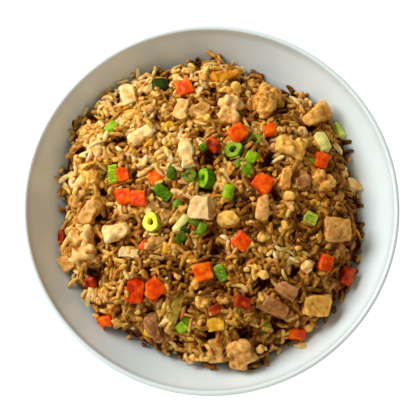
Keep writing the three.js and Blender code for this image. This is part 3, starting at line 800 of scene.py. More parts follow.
def bowl_profile():
    """Radius and height from the middle of the floor, over the lip, to the middle underneath."""
    lip = WALL / 2
    middle = (BOWL_RADIUS - lip, BOWL_HEIGHT - lip)
    profile = [(r, float(inner_height(r))) for r in np.linspace(0, FLOOR_RADIUS, 9)]
    profile += [(r, float(inner_height(r))) for r in np.linspace(FLOOR_RADIUS, 110.4, 34)[1:]]
    for angle in np.radians(np.linspace(165, -20, 14)):
        profile.append((middle[0] + lip * math.cos(angle), middle[1] + lip * math.sin(angle)))
    profile += [outer_point(r) for r in np.linspace(109.0, 62, 22)]
    foot = [
        (FOOT_RADIUS + 0.7, UNDERSIDE + 0.5), (FOOT_RADIUS, UNDERSIDE), (FOOT_RADIUS - 0.2, 0.7),
        (FOOT_RADIUS - 0.8, 0.0), (FOOT_RADIUS - FOOT_WIDTH + 0.6, 0.0),
        (FOOT_RADIUS - FOOT_WIDTH, 0.6), (FOOT_RADIUS - FOOT_WIDTH - 0.6, UNDERSIDE - 0.5),
        (FOOT_RADIUS - FOOT_WIDTH - 1.4, UNDERSIDE), (0, UNDERSIDE),
    ]
    return profile + foot


def turned(profile, sides):
    """A profile from the axis round to the axis again, turned about Z."""
    angles = np.linspace(0, 2 * math.pi, sides, endpoint=False)
    verts, faces = [(0, 0, profile[0][1])], []
    for radius, height in profile[1:-1]:
        verts += [(radius * math.cos(a), radius * math.sin(a), height) for a in angles]
    verts.append((0, 0, profile[-1][1]))
    rings = len(profile) - 2
    for i in range(sides):
        after = (i + 1) % sides
        faces.append((0, 1 + i, 1 + after))
        for ring in range(rings - 1):
            near, far = 1 + ring * sides, 1 + (ring + 1) * sides
            faces.append((near + i, far + i, far + after, near + after))
        last = 1 + (rings - 1) * sides
        faces.append((len(verts) - 1, last + after, last + i))
    return np.array(verts, float), faces


piece("bowl_glazed", turned(bowl_profile(), BOWL_SIDES), GLAZE, ["bowl"])

# ---- Toppings with solids of their own


def cube_sphere(steps):
    """Points on a cube's surface as directions, and its quads, without doubled points."""
    found, verts, faces = {}, [], []
    marks = np.linspace(-1, 1, steps + 1)

    def point(place):
        key = tuple(np.round(place, 5))
        if key not in found:
            found[key] = len(verts)
            verts.append(place)
        return found[key]

    for axis in range(3):
        for side in (-1, 1):
            for i in range(steps):
                for j in range(steps):
                    corners = []
                    for a, b in ((i, j), (i + 1, j), (i + 1, j + 1), (i, j + 1)):
                        place = np.zeros(3)
                        place[axis] = side
                        place[(axis + 1) % 3] = marks[a]
                        place[(axis + 2) % 3] = marks[b]
                        corners.append(point(place))
                    faces.append(tuple(corners if side > 0 else corners[::-1]))
    return np.array(verts), faces


CUBE_VERTS, CUBE_FACES = cube_sphere(9)
BALL_VERTS, BALL_FACES = cube_sphere(7)
BALL_VERTS = BALL_VERTS / np.linalg.norm(BALL_VERTS, axis=1)[:, None]


def chunk(random, sizes, planes=8, sharpness=16):
    """A torn lump of those sizes: a ball cut by planes at random, its edges rounded."""
    ways = random.normal(size=(planes, 3))
    ways /= np.linalg.norm(ways, axis=1, keepdims=True)
    far = random.uniform(0.5, 0.95, planes)
    cuts = (np.maximum(BALL_VERTS @ ways.T, 0) / far) ** sharpness
    radius = (cuts.sum(axis=1) + 1) ** (-1 / sharpness)
    return BALL_VERTS * radius[:, None] * np.asarray(sizes) / 2


def displaced(verts, faces, layers, seed, turn=0.0, stretch=1.0):
    """Moves each point along its normal by noise; stretch draws the noise out along one way."""
    normals = vertex_normals(verts, faces)
    along = np.array((math.cos(turn), math.sin(turn), 0.0))
    flat = verts - np.outer(verts @ along, along) * (1 - 1 / stretch)
    push = np.zeros(len(verts))
    for i, (size, depth) in enumerate(layers):
        push += depth * smooth_noise(flat, size, seed + 17 * i)
    return verts + normals * push[:, None]


def whittled(verts, seed, planes=6, least=0.74):
    """Takes the corners off a piece along planes at random, as a knife and stirring do."""
    random = np.random.default_rng(seed)
    middle = (verts.max(0) + verts.min(0)) / 2
    for _ in range(planes):
        way = random.normal(size=3)
        way /= np.linalg.norm(way)
        along = (verts - middle) @ way
        limit = along.max() * random.uniform(least, 0.95)
        verts = verts - np.outer(0.85 * np.maximum(along - limit, 0), way)
    return verts


def torn(name, size, seed):
    """A solid's own form, covered with rounded lumps of about that size and melted together."""
    verts, faces = node_mesh(name)
    random = np.random.default_rng(seed)
    middle = (verts.max(0) + verts.min(0)) / 2
    parts = [(middle + (verts - middle) * 0.96, faces, {})]
    corners = verts[np.array([f[:3] for f in faces])]
    normals = np.cross(corners[:, 1] - corners[:, 0], corners[:, 2] - corners[:, 0])
    areas = np.linalg.norm(normals, axis=1) / 2
    normals /= np.maximum(2 * areas, 1e-9)[:, None]
    count = int(areas.sum() / (0.36 * size * size))
    for face in random.choice(len(faces), count, p=areas / areas.sum()):
        weights = random.dirichlet((1, 1, 1))
        sizes = size * random.uniform(0.8, 1.25, 3)
        place = weights @ corners[face] - normals[face] * sizes.mean() * random.uniform(0.36, 0.48)
        turn = np.linalg.qr(random.normal(size=(3, 3)))[0]
        parts.append((chunk(random, sizes) @ turn + place, BALL_FACES, {}))
    return fused(parts, 0.6, 4)


def chicken_pieces():
    for tone, numbers in CHICKEN_TONES.items():
        for number in numbers:
            name = f"chicken_{number:02d}"
            if number in CUT_CHICKEN:
                verts, faces = refined(name, 0.6, 2)
                verts = whittled(verts, number, *((10, 0.66) if tone == "white" else (6, 0.74)))
                layers = [(7.0, 1.0), (3.0, 0.45), (1.3, 0.15)]
            elif number in LUMP_SIZES:
                verts, faces = torn(name, LUMP_SIZES[number], number)
                layers = [(5.0, 0.8), (2.4, 0.5), (1.2, 0.14)]
            else:
                verts, faces = refined(name, 0.6, 9)
                verts = whittled(verts, number, 6, 0.8)
                layers = [(6.5, 1.4), (3.0, 0.9), (1.5, 0.25)]
            verts = displaced(verts, faces, layers, number, 2.4 * number, 1.5)
            verts[:, 2] = np.minimum(verts[:, 2], CAD_TOP)
            piece(name + "_dice", marked(verts, faces), CHICKEN[tone], [name])


def carrot_pieces():
    for name in TOPPINGS:
        if name.startswith("carrot"):
            number = int(name[-2:])
            verts, faces = refined(name, 0.5, 8)
            verts = whittled(verts, number, 5, 0.8)
            verts = displaced(verts, faces, [(6.5, 1.0), (2.6, 0.3), (1.2, 0.08)], 100 + number)
            tone = CARROT_TONES.get(number, "bright")
            shape = marked(verts, faces, depth=4.0, start=3.0)
            piece(name + "_dice", shape, CARROT[tone], [name])


def ring(length, width, height, skin, seed):
    """A cut scallion: a wall in two layers round a hollow, along Z, with tone 1 on the cuts."""
    half = height / 2
    mark = 1 - skin * np.array([1.0, 0.62, 0.5, 0.38])
    profile = [
        (mark[0], -half * 0.9), (mark[1], -half), (mark[2], -half * 0.93), (mark[3], -half),
        (0.97, -half * 0.95), (1.0, -half * 0.75), (1.02, 0),
        (1.0, half * 0.75), (0.97, half * 0.95),
        (mark[3], half), (mark[2], half * 0.88), (mark[1], half), (mark[0], half * 0.9),
        (mark[0] - 0.04, half * 0.6), (mark[0] - 0.04, -half * 0.6),
    ]
    cut = np.array([float(abs(z) > 0.85 * half or r < 0.9) for r, z in profile])
    sides = 40
    verts, faces, tone = [], [], []
    for i in range(sides):
        angle = 2 * math.pi * i / sides
        wave = 1 + 0.04 * math.sin(3 * angle + seed) + 0.03 * math.sin(5 * angle + 2 * seed)
        sway = 0.05 * height * math.sin(2 * angle + 3 * seed)
        for (r, z), inside in zip(profile, cut):
            far = r * wave / 2
            verts.append((far * length * math.cos(angle), far * width * math.sin(angle), z + sway))
            tone.append(inside)
    count = len(profile)
    for i in range(sides):
        near, far = i * count, (i + 1) % sides * count
        for j in range(count):
            below = (j + 1) % count
            faces.append((near + j, far + j, far + below, near + below))
    return np.array(verts), faces, {"tone": np.array(tone)}


def stood(verts, x, y, z, turn, tip=0.0):
    """Turns a shape about Z, tips it to +X and sets it on the slope of the rice at (x, y)."""
    slope = bare_normal(x, y).lerp(Vector((0, 0, 1)), 0.35).normalized()
    spin = Vector((0, 0, 1)).rotation_difference(slope).to_matrix()
    lean = np.array(spin @ rotation_y(-tip) @ rotation_z(turn))
    return verts @ lean.T + np.array((x, y, z))


def rotation_z(degrees):
    return Matrix.Rotation(math.radians(degrees), 3, "Z")


def rotation_y(degrees):
    return Matrix.Rotation(math.radians(degrees), 3, "Y")


def scallion_pieces():
    for name, (length, width, height, turn, tip, skin, tone) in RINGS.items():
        low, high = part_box(name)
        middle = (low + high) / 2 / MM
        verts, faces, attributes = ring(length, width, height, skin, int(name[-2:]))
        verts = stood(verts, middle.x, middle.y, middle.z, turn, tip)
        piece(name + "_slice", (verts, faces, attributes), SCALLION[tone], [name])
    for name, (turn, tone) in CUTS.items():
        verts, faces = refined(name, 0.4, 4)
        way = math.radians(turn)
        along = np.array((math.cos(way), math.sin(way), 0))
        place = (verts - verts.mean(0)) @ along
        verts = displaced(verts, faces, [(2.5, 0.4), (1.0, 0.16)], 300 + turn, way, 3.0)
        share = np.clip(np.abs(place) / place.max(), 0, 1)
        shape = (verts, faces, {"tone": np.clip((share - 0.72) / 0.2, 0, 1)})
        piece(name + "_slice", shape, SCALLION[tone], [name])


def soft_pieces():
    for name, kind, layers in (
        ("celery_01", "celery_pale", [(4.0, 0.25), (1.5, 0.1)]),
        ("celery_02", "celery_pale", [(4.0, 0.25), (1.5, 0.1)]),
        ("egg_01", "egg_yellow", [(3.5, 0.7), (1.4, 0.3)]),
        ("egg_02", "egg_white", [(3.0, 0.5), (1.2, 0.2)]),
    ):
        verts, faces = refined(name, 0.45, 4)
        verts = displaced(verts, faces, layers, 500 + len(name))
        # The attribute darkens what lies low in the rice, as painted shade.
        piece(name + "_slice", (verts, faces, {"deep_shade": sunk_shade(verts)}), SOFT[kind], [name])


chicken_pieces()
carrot_pieces()
scallion_pieces()
soft_pieces()

# ---- Smaller bits in the rice


def lump(row, power, layers, seed, bend=0.0):
    """A rounded block of that row's size; a high power makes it boxy."""
    x, y, length, width, height, turn = row[:6]
    norm = (np.abs(CUBE_VERTS) ** power).sum(axis=1) ** (1 / power)
    verts = CUBE_VERTS / norm[:, None] * (length / 2, width / 2, height / 2)
    verts[:, 1] += bend * (1 - (2 * verts[:, 0] / length) ** 2)
    rise = height * 0.18
    verts = stood(verts, x, y, float(at(BARE, x, y)) + rise, turn)
    verts = displaced(verts, CUBE_FACES, layers, seed)
    return verts, CUBE_FACES, {}


def bit_set(name, rows, power, layers, material, seed, bends=False):
    parts = [
        lump(row, power, layers, seed + i, row[6] if bends else 0.0) for i, row in enumerate(rows)
    ]
    verts, faces, _ = joined(parts)
    tone = 0.5 + 0.5 * smooth_noise(verts, 4.0, seed)
    # Attributes for painted shade low in the rice and painted light on what stands out; tone is random.
    attributes = {"tone": tone, "deep_shade": sunk_shade(verts), "peak_light": lit_peaks(verts, faces, 4)}
    piece(name, (verts, faces, attributes), material)
    return verts, faces


def cluster(random, sizes, flakes):
    """A few angular flakes grown together, their middle at the origin."""
    parts = []
    for _ in range(flakes):
        flake = random.uniform((0.5, 0.5, 0.5), (0.85, 0.85, 0.85)) * sizes
        turn = np.array(rotation_z(random.uniform(-50, 50)))
        place = random.uniform(-0.28, 0.28, 3) * sizes
        parts.append((chunk(random, flake, 6, 30) @ turn + place, BALL_FACES, {}))
    verts, faces, _ = joined(parts)
    return verts, faces


def torn_bits(name, rows, material, seed):
    """A torn lump for each row, melted into one mesh."""
    random = np.random.default_rng(seed)
    parts = []
    for x, y, length, width, height, turn in rows:
        shape, faces = cluster(random, 1.15 * np.array((length, width, height)), 4)
        rise = 0.1 * height
        parts.append((stood(shape, x, y, float(at(BARE, x, y)) + rise, turn), faces, {}))
    verts, faces = fused(parts, 0.5, 1)
    verts = displaced(verts, faces, [(4.5, 0.6), (2.2, 0.55), (1.1, 0.15)], seed)
    piece(name, marked(verts, faces), material)
    return verts, faces


def ring_bits():
    parts = []
    for i, (x, y, length, width, height, turn) in enumerate(RING_BITS):
        verts, faces, attributes = ring(length, width, height, SMALL_WALL, i + 5)
        verts = stood(verts, x, y, float(at(BARE, x, y)) + 0.25 * height, turn, SMALL_TIP)
        parts.append((verts, faces, attributes))
    shape = joined(parts)
    piece("scallion_small_rings", shape, SCALLION["dark"])
    return shape[:2]


bits = [ring_bits()]
for tone, rows in CHICKEN_BITS.items():
    bits.append(torn_bits(f"chicken_bits_{tone}", rows, CHICKEN[tone], 600 + len(rows)))
for kind, sets, power, layers, materials, seed in (
    ("carrot", CARROT_BITS, 5.5, [(3.0, 0.5), (1.3, 0.15)], CARROT, 700),
    ("scallion", SCALLION_BITS, 3.6, [(2.8, 0.7), (1.2, 0.2)], SCALLION, 800),
):
    for tone, rows in sets.items():
        name = f"{kind}_bits_{tone}"
        bits.append(bit_set(name, rows, power, layers, materials[tone], seed))
bits.append(torn_bits("egg_bits", EGG_BITS, SOFT["egg_yellow"], 900))
for tone, rows in SLIVERS.items():
    name, material = f"onion_strips_{tone}", SOFT[f"onion_{tone}"]
    bits.append(bit_set(name, rows, 2.4, [(3.0, 0.4), (1.2, 0.12)], material, 1000, True))

# ---- The rice

# How far grains may lie in over a topping's border, in mm: solids, thin slices, small bits.
NODE_BORDER, THIN_BORDER, BIT_BORDER = 2.9, 1.2, 2.4
BED_DEPTH = 3.4
SHADE_DEPTH = 3.6  # mm under the grains' level where the painted shade is at its darkest
bit_tops = tops(bits)
raised = np.fmax(node_tops, bit_tops)
COVERED = ~np.isnan(raised)
thin_tops = tops([node_mesh(name) for name in TOPPINGS if name.startswith(("celery", "scallion"))])
FORBIDDEN = shrunk(~np.isnan(node_tops), NODE_BORDER)
FORBIDDEN |= shrunk(~np.isnan(thin_tops), THIN_BORDER)
FORBIDDEN |= shrunk(~np.isnan(bit_tops), BIT_BORDER)

grid_points = np.stack([GRID_X, GRID_Y, np.zeros_like(GRID_X)], axis=2)
swayed = grid_points + 2.5 * np.stack([
    smooth_noise(grid_points, 9.0, 51), smooth_noise(grid_points, 9.0, 52), np.zeros_like(GRID_X),
], axis=2)
large_knobs, KNOB_MARK = knobs(swayed, 15.0, 55)
small_knobs, SMALL_MARK = knobs(swayed, 7.5, 56)
cover = blurred(COVERED.astype(float), 2.5)
clods = 6.0 * (large_knobs - 0.7) + 3.0 * (small_knobs - 0.7)
clods += 1.2 * smooth_noise(grid_points, 20.0, 57)
clods *= (1 - 0.7 * cover) * np.clip(6 * (1 - SHARE), 0.2, 1)
hollow = np.zeros_like(clods)
for x, y, radius in HOLLOWS:
    pit = HOLLOW_DEPTH * radius * np.exp(-(np.hypot(GRID_X - x, GRID_Y - y) / radius) ** 2)
    hollow = np.maximum(hollow, pit)
clods -= hollow
ceiling = np.maximum(BARE + 0.3 + 2.4 * cover + clods, bowl_top + 2.6)
BED = np.where(COVERED, np.fmin(ceiling, raised - 1.0), ceiling) - BED_DEPTH
BED = np.where(SHARE < 0.985, blurred(BED, 0.8), bowl_top)


# Each clump's own tone at random, paler towards the upper left on the key light's side, partly as
# painted light, and darker in the hollows as painted shade.
TONE_LIGHT_AND_SHADE = 0.6 * smooth_noise(grid_points, 17.0, 77) + 0.5 * KNOB_MARK + 0.4 * SMALL_MARK
TONE_LIGHT_AND_SHADE += 0.0052 * (0.6 * GRID_Y - 0.8 * GRID_X) - 0.12 * hollow
SHADE_STRENGTH = np.clip(0.85 - 0.42 * TONE_LIGHT_AND_SHADE, 0.35, 1.25)  # how strong the painted shade is: weaker in warm clumps


def shade_under(x, y, z):
    """How much painted shade darkens rice at these points: 0 on top, 1 deep between clumps."""
    return np.clip((at(LEVEL, x, y) - z) / SHADE_DEPTH, 0, 1) * at(SHADE_STRENGTH, x, y)


def disc(steps):
    """An even grid of points over a disc of radius 1, the perimeter in order, and the quads."""
    a, b = np.meshgrid(np.linspace(-1, 1, steps + 1), np.linspace(-1, 1, steps + 1))
    a, b = a.ravel() + 1e-9, b.ravel() + 2e-9
    wide = np.abs(a) > np.abs(b)
    angle = np.where(wide, math.pi / 4 * b / a, math.pi / 2 - math.pi / 4 * a / b)
    radius = np.where(wide, a, b)
    i, j = np.meshgrid(np.arange(steps), np.arange(steps))
    corner = (j * (steps + 1) + i).ravel()
    quads = np.stack([corner, corner + 1, corner + steps + 2, corner + steps + 1], axis=1)
    side = np.arange(steps)
    perimeter = np.concatenate([
        side, steps + side * (steps + 1),
        steps * (steps + 1) + steps - side, (steps - side) * (steps + 1),
    ])
    return radius * np.cos(angle), radius * np.sin(angle), perimeter, quads


def packed_rice(top, tones):
    """The rice that sticks together, grain by grain in relief, as one closed body."""
    u, v, perimeter, quads = disc(PACKED_STEPS)
    share = np.hypot(u, v)
    angle = np.arctan2(v, u)
    far = (reach(angle) - 1.5) * share
    x, y = far * np.cos(angle), far * np.sin(angle)
    floor = inner_height(np.hypot(x, y)) + OFF_GLAZE
    soft = blurred(top, 0.3)
    z = np.maximum(sampled(soft, x, y), floor + 0.3)
    upper = np.stack([x, y, z], axis=1)
    lower = np.stack([x, y, floor], axis=1)[perimeter]
    verts = np.vstack([upper, lower, [(0.0, 0.0, FLOOR_HEIGHT + OFF_GLAZE)]])
    count = len(perimeter)
    after = np.roll(np.arange(count), -1)
    start = len(upper)
    faces = quads.tolist()
    rim = np.stack([perimeter[after], perimeter, start + np.arange(count), start + after], axis=1)
    faces += rim.tolist()
    faces += [(start + count, start + int(after[i]), start + i) for i in range(count)]
    # Painted shade in the grooves between grains, and below it painted shade deep in the pile.
    groove_shade = np.clip((sampled(blurred(top, 1.6) - soft, x, y)) / 1.2, 0, 1) * at(SHADE_STRENGTH, x, y)
    deep_shade = shade_under(x, y, z)
    tone = sampled(blurred(tones, 0.25), x, y)
    rest = len(verts) - len(upper)
    attributes = {
        "tone": np.append(tone, np.zeros(rest)), "deep_shade": np.append(deep_shade, np.ones(rest)),
        "groove_shade": np.append(groove_shade, np.ones(rest)),
    }
    piece("rice_packed", (verts, faces, attributes), RICE, ["rice_heap"])


ALONG, ACROSS = np.meshgrid(np.linspace(-0.5, 0.5, 25), np.linspace(-0.5, 0.5, 9))
PLUMP = 1 - np.abs(2 * ALONG) ** 2.6 - (2 * ACROSS) ** 2
ALONG, ACROSS, PLUMP = (part[PLUMP > 0] for part in (ALONG, ACROSS, PLUMP))
PLUMP = np.sqrt(PLUMP)


class Pile:
    """Grains set down one by one, each on what already lies there."""

    def __init__(self, surface, ceiling, seed):
        self.surface = surface
        self.ceiling = ceiling
        self.random = np.random.default_rng(seed)
        self.grains = []
        self.tones = np.zeros_like(surface)

    def spot(self, tries):
        """The deepest of a few random places within the heap."""
        best = None
        for _ in range(tries):
            angle = self.random.uniform(0, 2 * math.pi)
            radius = math.sqrt(self.random.uniform()) * (float(reach(angle)) + 1.5)
            x, y = radius * math.cos(angle), radius * math.sin(angle)
            depth = float(at(self.ceiling, x, y) - at(self.surface, x, y))
            if best is None or depth > best[0]:
                best = (depth, x, y)
        return best[1:]

    def lay(self, x, y, length, width, forbidden, steepness=0.0):
        """Lays a grain at (x, y), turned at random; a steep one has its foot in the pile."""
        random = self.random
        turn = random.uniform(0, 2 * math.pi)
        cosine, sine = math.cos(turn), math.sin(turn)
        flat = math.cos(steepness)
        u, v = ALONG * (length * flat + width * math.sin(steepness)), ACROSS * width
        px, py = x + u * cosine - v * sine, y + u * sine + v * cosine
        rows = np.rint((py + HALF) / CELL).astype(int)
        columns = np.rint((px + HALF) / CELL).astype(int)
        if rows.min() < 0 or columns.min() < 0 or max(rows.max(), columns.max()) >= COUNT:
            return
        if forbidden[rows, columns].sum() > 2:
            return
        ground = self.surface[rows, columns]
        thick = GRAIN_THICKNESS * width
        pitch = np.clip((u * (ground - ground.mean())).sum() / (u * u).sum(), -0.6, 0.6)
        roll = np.clip((v * (ground - ground.mean())).sum() / (v * v).sum(), -0.5, 0.5)
        if steepness:
            pitch = math.tan(min(steepness + math.atan(pitch), 1.3))
            half = thick / 2 / flat * PLUMP
            tilt = np.minimum(pitch * u, length / 2 * math.sin(steepness)) + roll * v
            middle = ground.mean() - length / 2 * math.sin(steepness) + random.uniform(0.8, 2.2)
            top = middle + tilt + np.minimum(half, thick / 2)
        else:
            pitch += random.normal(0, 0.12)
            tilt = pitch * u + roll * v
            middle = np.quantile(ground - tilt + thick / 2 * PLUMP, 0.8) - 0.25 * thick
            top = middle + tilt + thick / 2 * PLUMP
        if (top - self.ceiling[rows, columns]).max() > random.exponential(0.6):
            return
        depth = float(np.clip(at(self.ceiling, x, y) - middle, 0, 4))
        # A grain's tone: the field's tone with its painted light and shade, darker the lower the grain
        # lies as painted shade, and random.
        grain_tone_and_shade = float(at(TONE_LIGHT_AND_SHADE, x, y)) - 0.1 * depth + random.normal(0, 0.42)
        tone = min(max(0.5 + 0.42 * grain_tone_and_shade, 0), 1)
        over = top > ground
        self.tones[rows[over], columns[over]] = tone
        np.maximum.at(self.surface, (rows, columns), top)
        self.grains.append((x, y, middle, turn, pitch, roll, length, width, thick, tone))

    def fill(self, attempts, forbidden, steep_share=0.0):
        random = self.random
        for _ in range(attempts):
            x, y = self.spot(3)
            length = random.normal(GRAIN_LENGTH, LENGTH_SPREAD)
            length = np.clip(length, 0.7 * GRAIN_LENGTH, 1.3 * GRAIN_LENGTH)
            if random.uniform() < BROKEN:
                length *= random.uniform(0.45, 0.75)
            width = random.normal(GRAIN_WIDTH, WIDTH_SPREAD)
            width = np.clip(width, 0.7 * GRAIN_WIDTH, 1.3 * GRAIN_WIDTH)
            steepness = random.uniform(0.5, 1.2) if random.uniform() < steep_share else 0.0
            self.lay(x, y, length, width, forbidden, steepness)


def grain_template(sides=8):
    """A grain of unit length along X and unit width: rings of points between two tips."""
    stations = np.array([-0.48, -0.42, -0.24, 0.0, 0.24, 0.42, 0.48])
    radii = 0.5 * np.sqrt(1 - np.abs(2 * stations) ** 4)
    angles = np.linspace(0, 2 * math.pi, sides, endpoint=False)
    verts = [(-0.5, 0.0, 0.0)]
    for station, radius in zip(stations, radii):
        verts += [(station, radius * math.cos(a), radius * math.sin(a)) for a in angles]
    verts.append((0.5, 0.0, 0.0))
    faces = []
    last = 1 + (len(stations) - 1) * sides
    for i in range(sides):
        after = (i + 1) % sides
        faces.append((0, 1 + after, 1 + i))
        faces.append((len(verts) - 1, last + i, last + after))
    quads = []
    for ring_number in range(len(stations) - 1):
        near = 1 + ring_number * sides
        for i in range(sides):
            after = (i + 1) % sides
            quads.append((near + i, near + after, near + sides + after, near + sides + i))
    return np.array(verts), faces, quads


def grain_mesh(grains, seed):
    """One mesh of many grains, each with its own bend and swell."""
    template, caps, quads = grain_template()
    random = np.random.default_rng(seed)
    rows = np.array(grains)
    count = len(rows)
    x, y, z, turn, pitch, roll, length, width, thick, tone = rows.T
    local = np.repeat(template[None], count, axis=0)
    share = 2 * local[:, :, 0]
    swell = 1 + random.normal(0, 0.06, (count, 1)) + random.normal(0, 0.12, (count, 1)) * share
    swell = swell * (1 + random.normal(0, 0.07, share.shape))
    sideways = random.normal(0, 0.7, (count, 1)) * (1 - share ** 2)
    upwards = random.normal(0, 0.45, (count, 1)) * (1 - share ** 2)
    # Painted shade on the underside of each grain.
    groove_shade = np.clip(0.32 - local[:, :, 2] * 1.3, 0, 1)
    local[:, :, 0] *= length[:, None]
    local[:, :, 1] = local[:, :, 1] * width[:, None] * swell + sideways
    local[:, :, 2] = local[:, :, 2] * thick[:, None] * swell + upwards
    along = np.stack([np.cos(turn), np.sin(turn), pitch], axis=1)
    along /= np.linalg.norm(along, axis=1, keepdims=True)
    side = np.stack([-np.sin(turn), np.cos(turn), roll], axis=1)
    side -= along * (along * side).sum(1, keepdims=True)
    side /= np.linalg.norm(side, axis=1, keepdims=True)
    up = np.cross(along, side)
    frames = np.stack([along, side, up], axis=1)
    verts = np.einsum("gvi,gij->gvj", local, frames) + rows[:, None, :3]
    glaze = inner_height(np.hypot(verts[:, :, 0], verts[:, :, 1])) + GRAIN_OFF_GLAZE
    verts[:, :, 2] = np.maximum(verts[:, :, 2], glaze)
    # Painted shade deep in the pile.
    deep_shade = shade_under(verts[:, :, 0], verts[:, :, 1], verts[:, :, 2])
    groove_shade *= at(SHADE_STRENGTH, x, y)[:, None]
    starts = np.arange(count)[:, None, None] * len(template)
    faces = (np.array(caps)[None] + starts).reshape(-1, 3).tolist()
    faces += (np.array(quads)[None] + starts).reshape(-1, 4).tolist()
    attributes = {
        "deep_shade": deep_shade.ravel(), "tone": np.repeat(tone, len(template)),
        "groove_shade": groove_shade.ravel(),
    }
    return verts.reshape(-1, 3), faces, attributes


# Crumbs of each shade: how many, and their least and greatest size in mm.
CRUMBS = {
    "cream": (24, 3.5, 7.0), "golden": (60, 3.5, 9.0),
    "beige": (20, 3.5, 7.0), "egg": (14, 3.0, 5.5),
}
crumb_cores = np.zeros_like(FORBIDDEN)


def crumble(surface):
    """Torn crumbs of egg and chicken on the rice, more of them to the upper left, by shade; each
    raises the surface and marks its middle in crumb_cores."""
    random = np.random.default_rng(21)
    found = {shade: [] for shade in CRUMBS}
    placed = []
    for shade, (count, low, high) in CRUMBS.items():
        while len(found[shade]) < count:
            angle = random.uniform(0, 2 * math.pi)
            radius = math.sqrt(random.uniform()) * (float(reach(angle)) - 3)
            x, y = radius * math.cos(angle), radius * math.sin(angle)
            size = low + (high - low) * random.uniform() ** 1.6
            patch = float(smooth_noise(np.array([[x, y, 0.0]]), 15.0, 33)[0])
            chance = 0.4 + 0.007 * (0.75 * y - 0.66 * x) + 0.3 * patch
            chance -= 0.3 * float(at(hollow, x, y))
            if at(FORBIDDEN, x, y) or random.uniform() > chance:
                continue
            if any(math.hypot(x - a, y - b) < 0.36 * (size + c) for a, b, c in placed):
                continue
            placed.append((x, y, size))
            sizes = size * random.uniform((0.95, 0.65, 0.5), (1.25, 1.0, 0.75))
            shape, shape_faces = cluster(random, sizes, random.integers(2, 5))
            shape = shape @ np.array(rotation_z(random.uniform(0, 360)))
            away = np.hypot(GRID_X - x, GRID_Y - y) / (0.5 * size)
            ground = float(surface[away < 0.8].mean())
            half = float(np.ptp(shape[:, 2])) / 2
            z = ground + random.uniform(0.05, 0.5) * half
            found[shade].append((shape + np.array((x, y, z)), shape_faces, {}))
            crumb_cores[away < 0.62] = True
            inside = away < 0.95
            top = z + half * np.sqrt(1 - np.minimum(away[inside], 1) ** 2)
            surface[inside] = np.maximum(surface[inside], top)
    return found


surface = BED.copy()
pile = Pile(surface, ceiling, 3)
pile.fill(PACKED_TRIES, FORBIDDEN)
packed_top, packed_tones = pile.surface.copy(), pile.tones.copy()
pile.grains = []
crumbs = crumble(pile.surface)
pile.ceiling = pile.ceiling + 0.9
pile.fill(LOOSE_TRIES, FORBIDDEN | crumb_cores, STEEP_SHARE)
LEVEL = np.where(SHARE < 1, blurred(pile.surface, 6.0), pile.surface) + 0.4
packed_rice(packed_top, packed_tones)
for i, rows in enumerate((pile.grains[::2], pile.grains[1::2])):
    piece(f"rice_grains_{i + 1}", grain_mesh(rows, 9 + i), RICE)

for i, (shade, parts) in enumerate(crumbs.items()):
    verts, faces = fused(parts, 0.5, 1)
    verts = displaced(verts, faces, [(2.6, 0.5), (1.3, 0.25)], 40 + i)
    # Attributes for painted shade low in the rice and painted light on what stands out.
    attributes = {"deep_shade": shade_under(*verts.T), "peak_light": lit_peaks(verts, faces)}
    piece(f"crumbs_{shade}", (verts, faces, attributes), CRUMB[shade])

strays = Pile(np.fmax(pile.surface, raised), np.full_like(surface, STRAY_CEILING), 8)
bare_chicken = tops([node_mesh(f"chicken_{number:02d}") for number in BARE_CHICKEN])
strays.fill(STRAY_TRIES, ~np.isnan(bare_chicken) | ~np.isnan(thin_tops))
verts, faces, attributes = grain_mesh(strays.grains, 10)
attributes["tone"] = 0.3 + 0.7 * attributes["tone"]
piece("rice_strays", (verts, faces, attributes), RICE)

# ---- Camera, lights and floor


CAMERA_LENS, CAMERA_SENSOR = 100, 36
CAMERA_ELEVATION = 79.2
CAMERA_DISTANCE = 0.703
CAMERA_TARGET = Vector((-0.0005, -0.0032, BOWL_HEIGHT * MM))

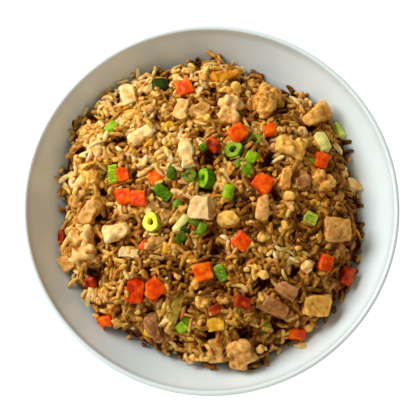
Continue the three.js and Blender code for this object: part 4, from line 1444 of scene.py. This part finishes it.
# Lights: azimuth and elevation in degrees, distance and size in metres, power in watts, colour.
LIGHTS = {
    "key": (149, 38, 1.2, 0.7, 16.8, (0.99, 0.99, 1.0)),
    "fill": (275, 35, 1.3, 0.9, 3.0, (1.0, 0.96, 0.88)),
}


def aimed(obj, target):
    obj.rotation_mode = "QUATERNION"
    obj.rotation_quaternion = (Vector(target) - obj.location).to_track_quat("-Z", "Y")


def camera():
    data = bpy.data.cameras.new("camera")
    data.lens = CAMERA_LENS
    data.sensor_width = CAMERA_SENSOR
    obj = linked("camera", data)
    elevation = math.radians(CAMERA_ELEVATION)
    away = Vector((0, -math.cos(elevation), math.sin(elevation)))
    obj.location = CAMERA_TARGET + CAMERA_DISTANCE * away
    aimed(obj, CAMERA_TARGET)
    bpy.context.scene.camera = obj


def area_light(name, azimuth, elevation, distance, size, power, color):
    """A square light; azimuth is the side that it stands on, from +X towards +Y."""
    data = bpy.data.lights.new(name, "AREA")
    data.size = size
    data.energy = power
    data.color = color
    obj = linked(name, data)
    a, e = math.radians(azimuth), math.radians(elevation)
    way = Vector((math.cos(a) * math.cos(e), math.sin(a) * math.cos(e), math.sin(e)))
    obj.location = distance * way
    aimed(obj, (0, 0, 0.03))


def floor():
    shader = Shader("pale_floor", Roughness=0.7, Emission_Strength=1.0)
    shader.surface.inputs["Emission Color"].default_value = (1, 1, 1, 1)
    shader.color(shader.ramp(shader.noise(60, 2), [(0.3, (120, 120, 120)), (0.7, (124, 124, 124))]))
    mesh = bpy.data.meshes.new("floor")
    mesh.from_pydata([(-3, -3, 0), (3, -3, 0), (3, 3, 0), (-3, 3, 0)], [], [(0, 1, 2, 3)])
    mesh.materials.append(shader.material)
    obj = linked("floor", mesh)


def world():
    made = bpy.data.worlds.new("studio")
    made.use_nodes = True
    background = made.node_tree.nodes["Background"]
    background.inputs["Color"].default_value = (1.0, 0.92, 0.74, 1)
    background.inputs["Strength"].default_value = 0.28
    bpy.context.scene.world = made


camera()
for name, values in LIGHTS.items():
    area_light(name, *values)
floor()
world()
settings = bpy.context.scene.view_settings
settings.view_transform = "Standard"
settings.look = "None"
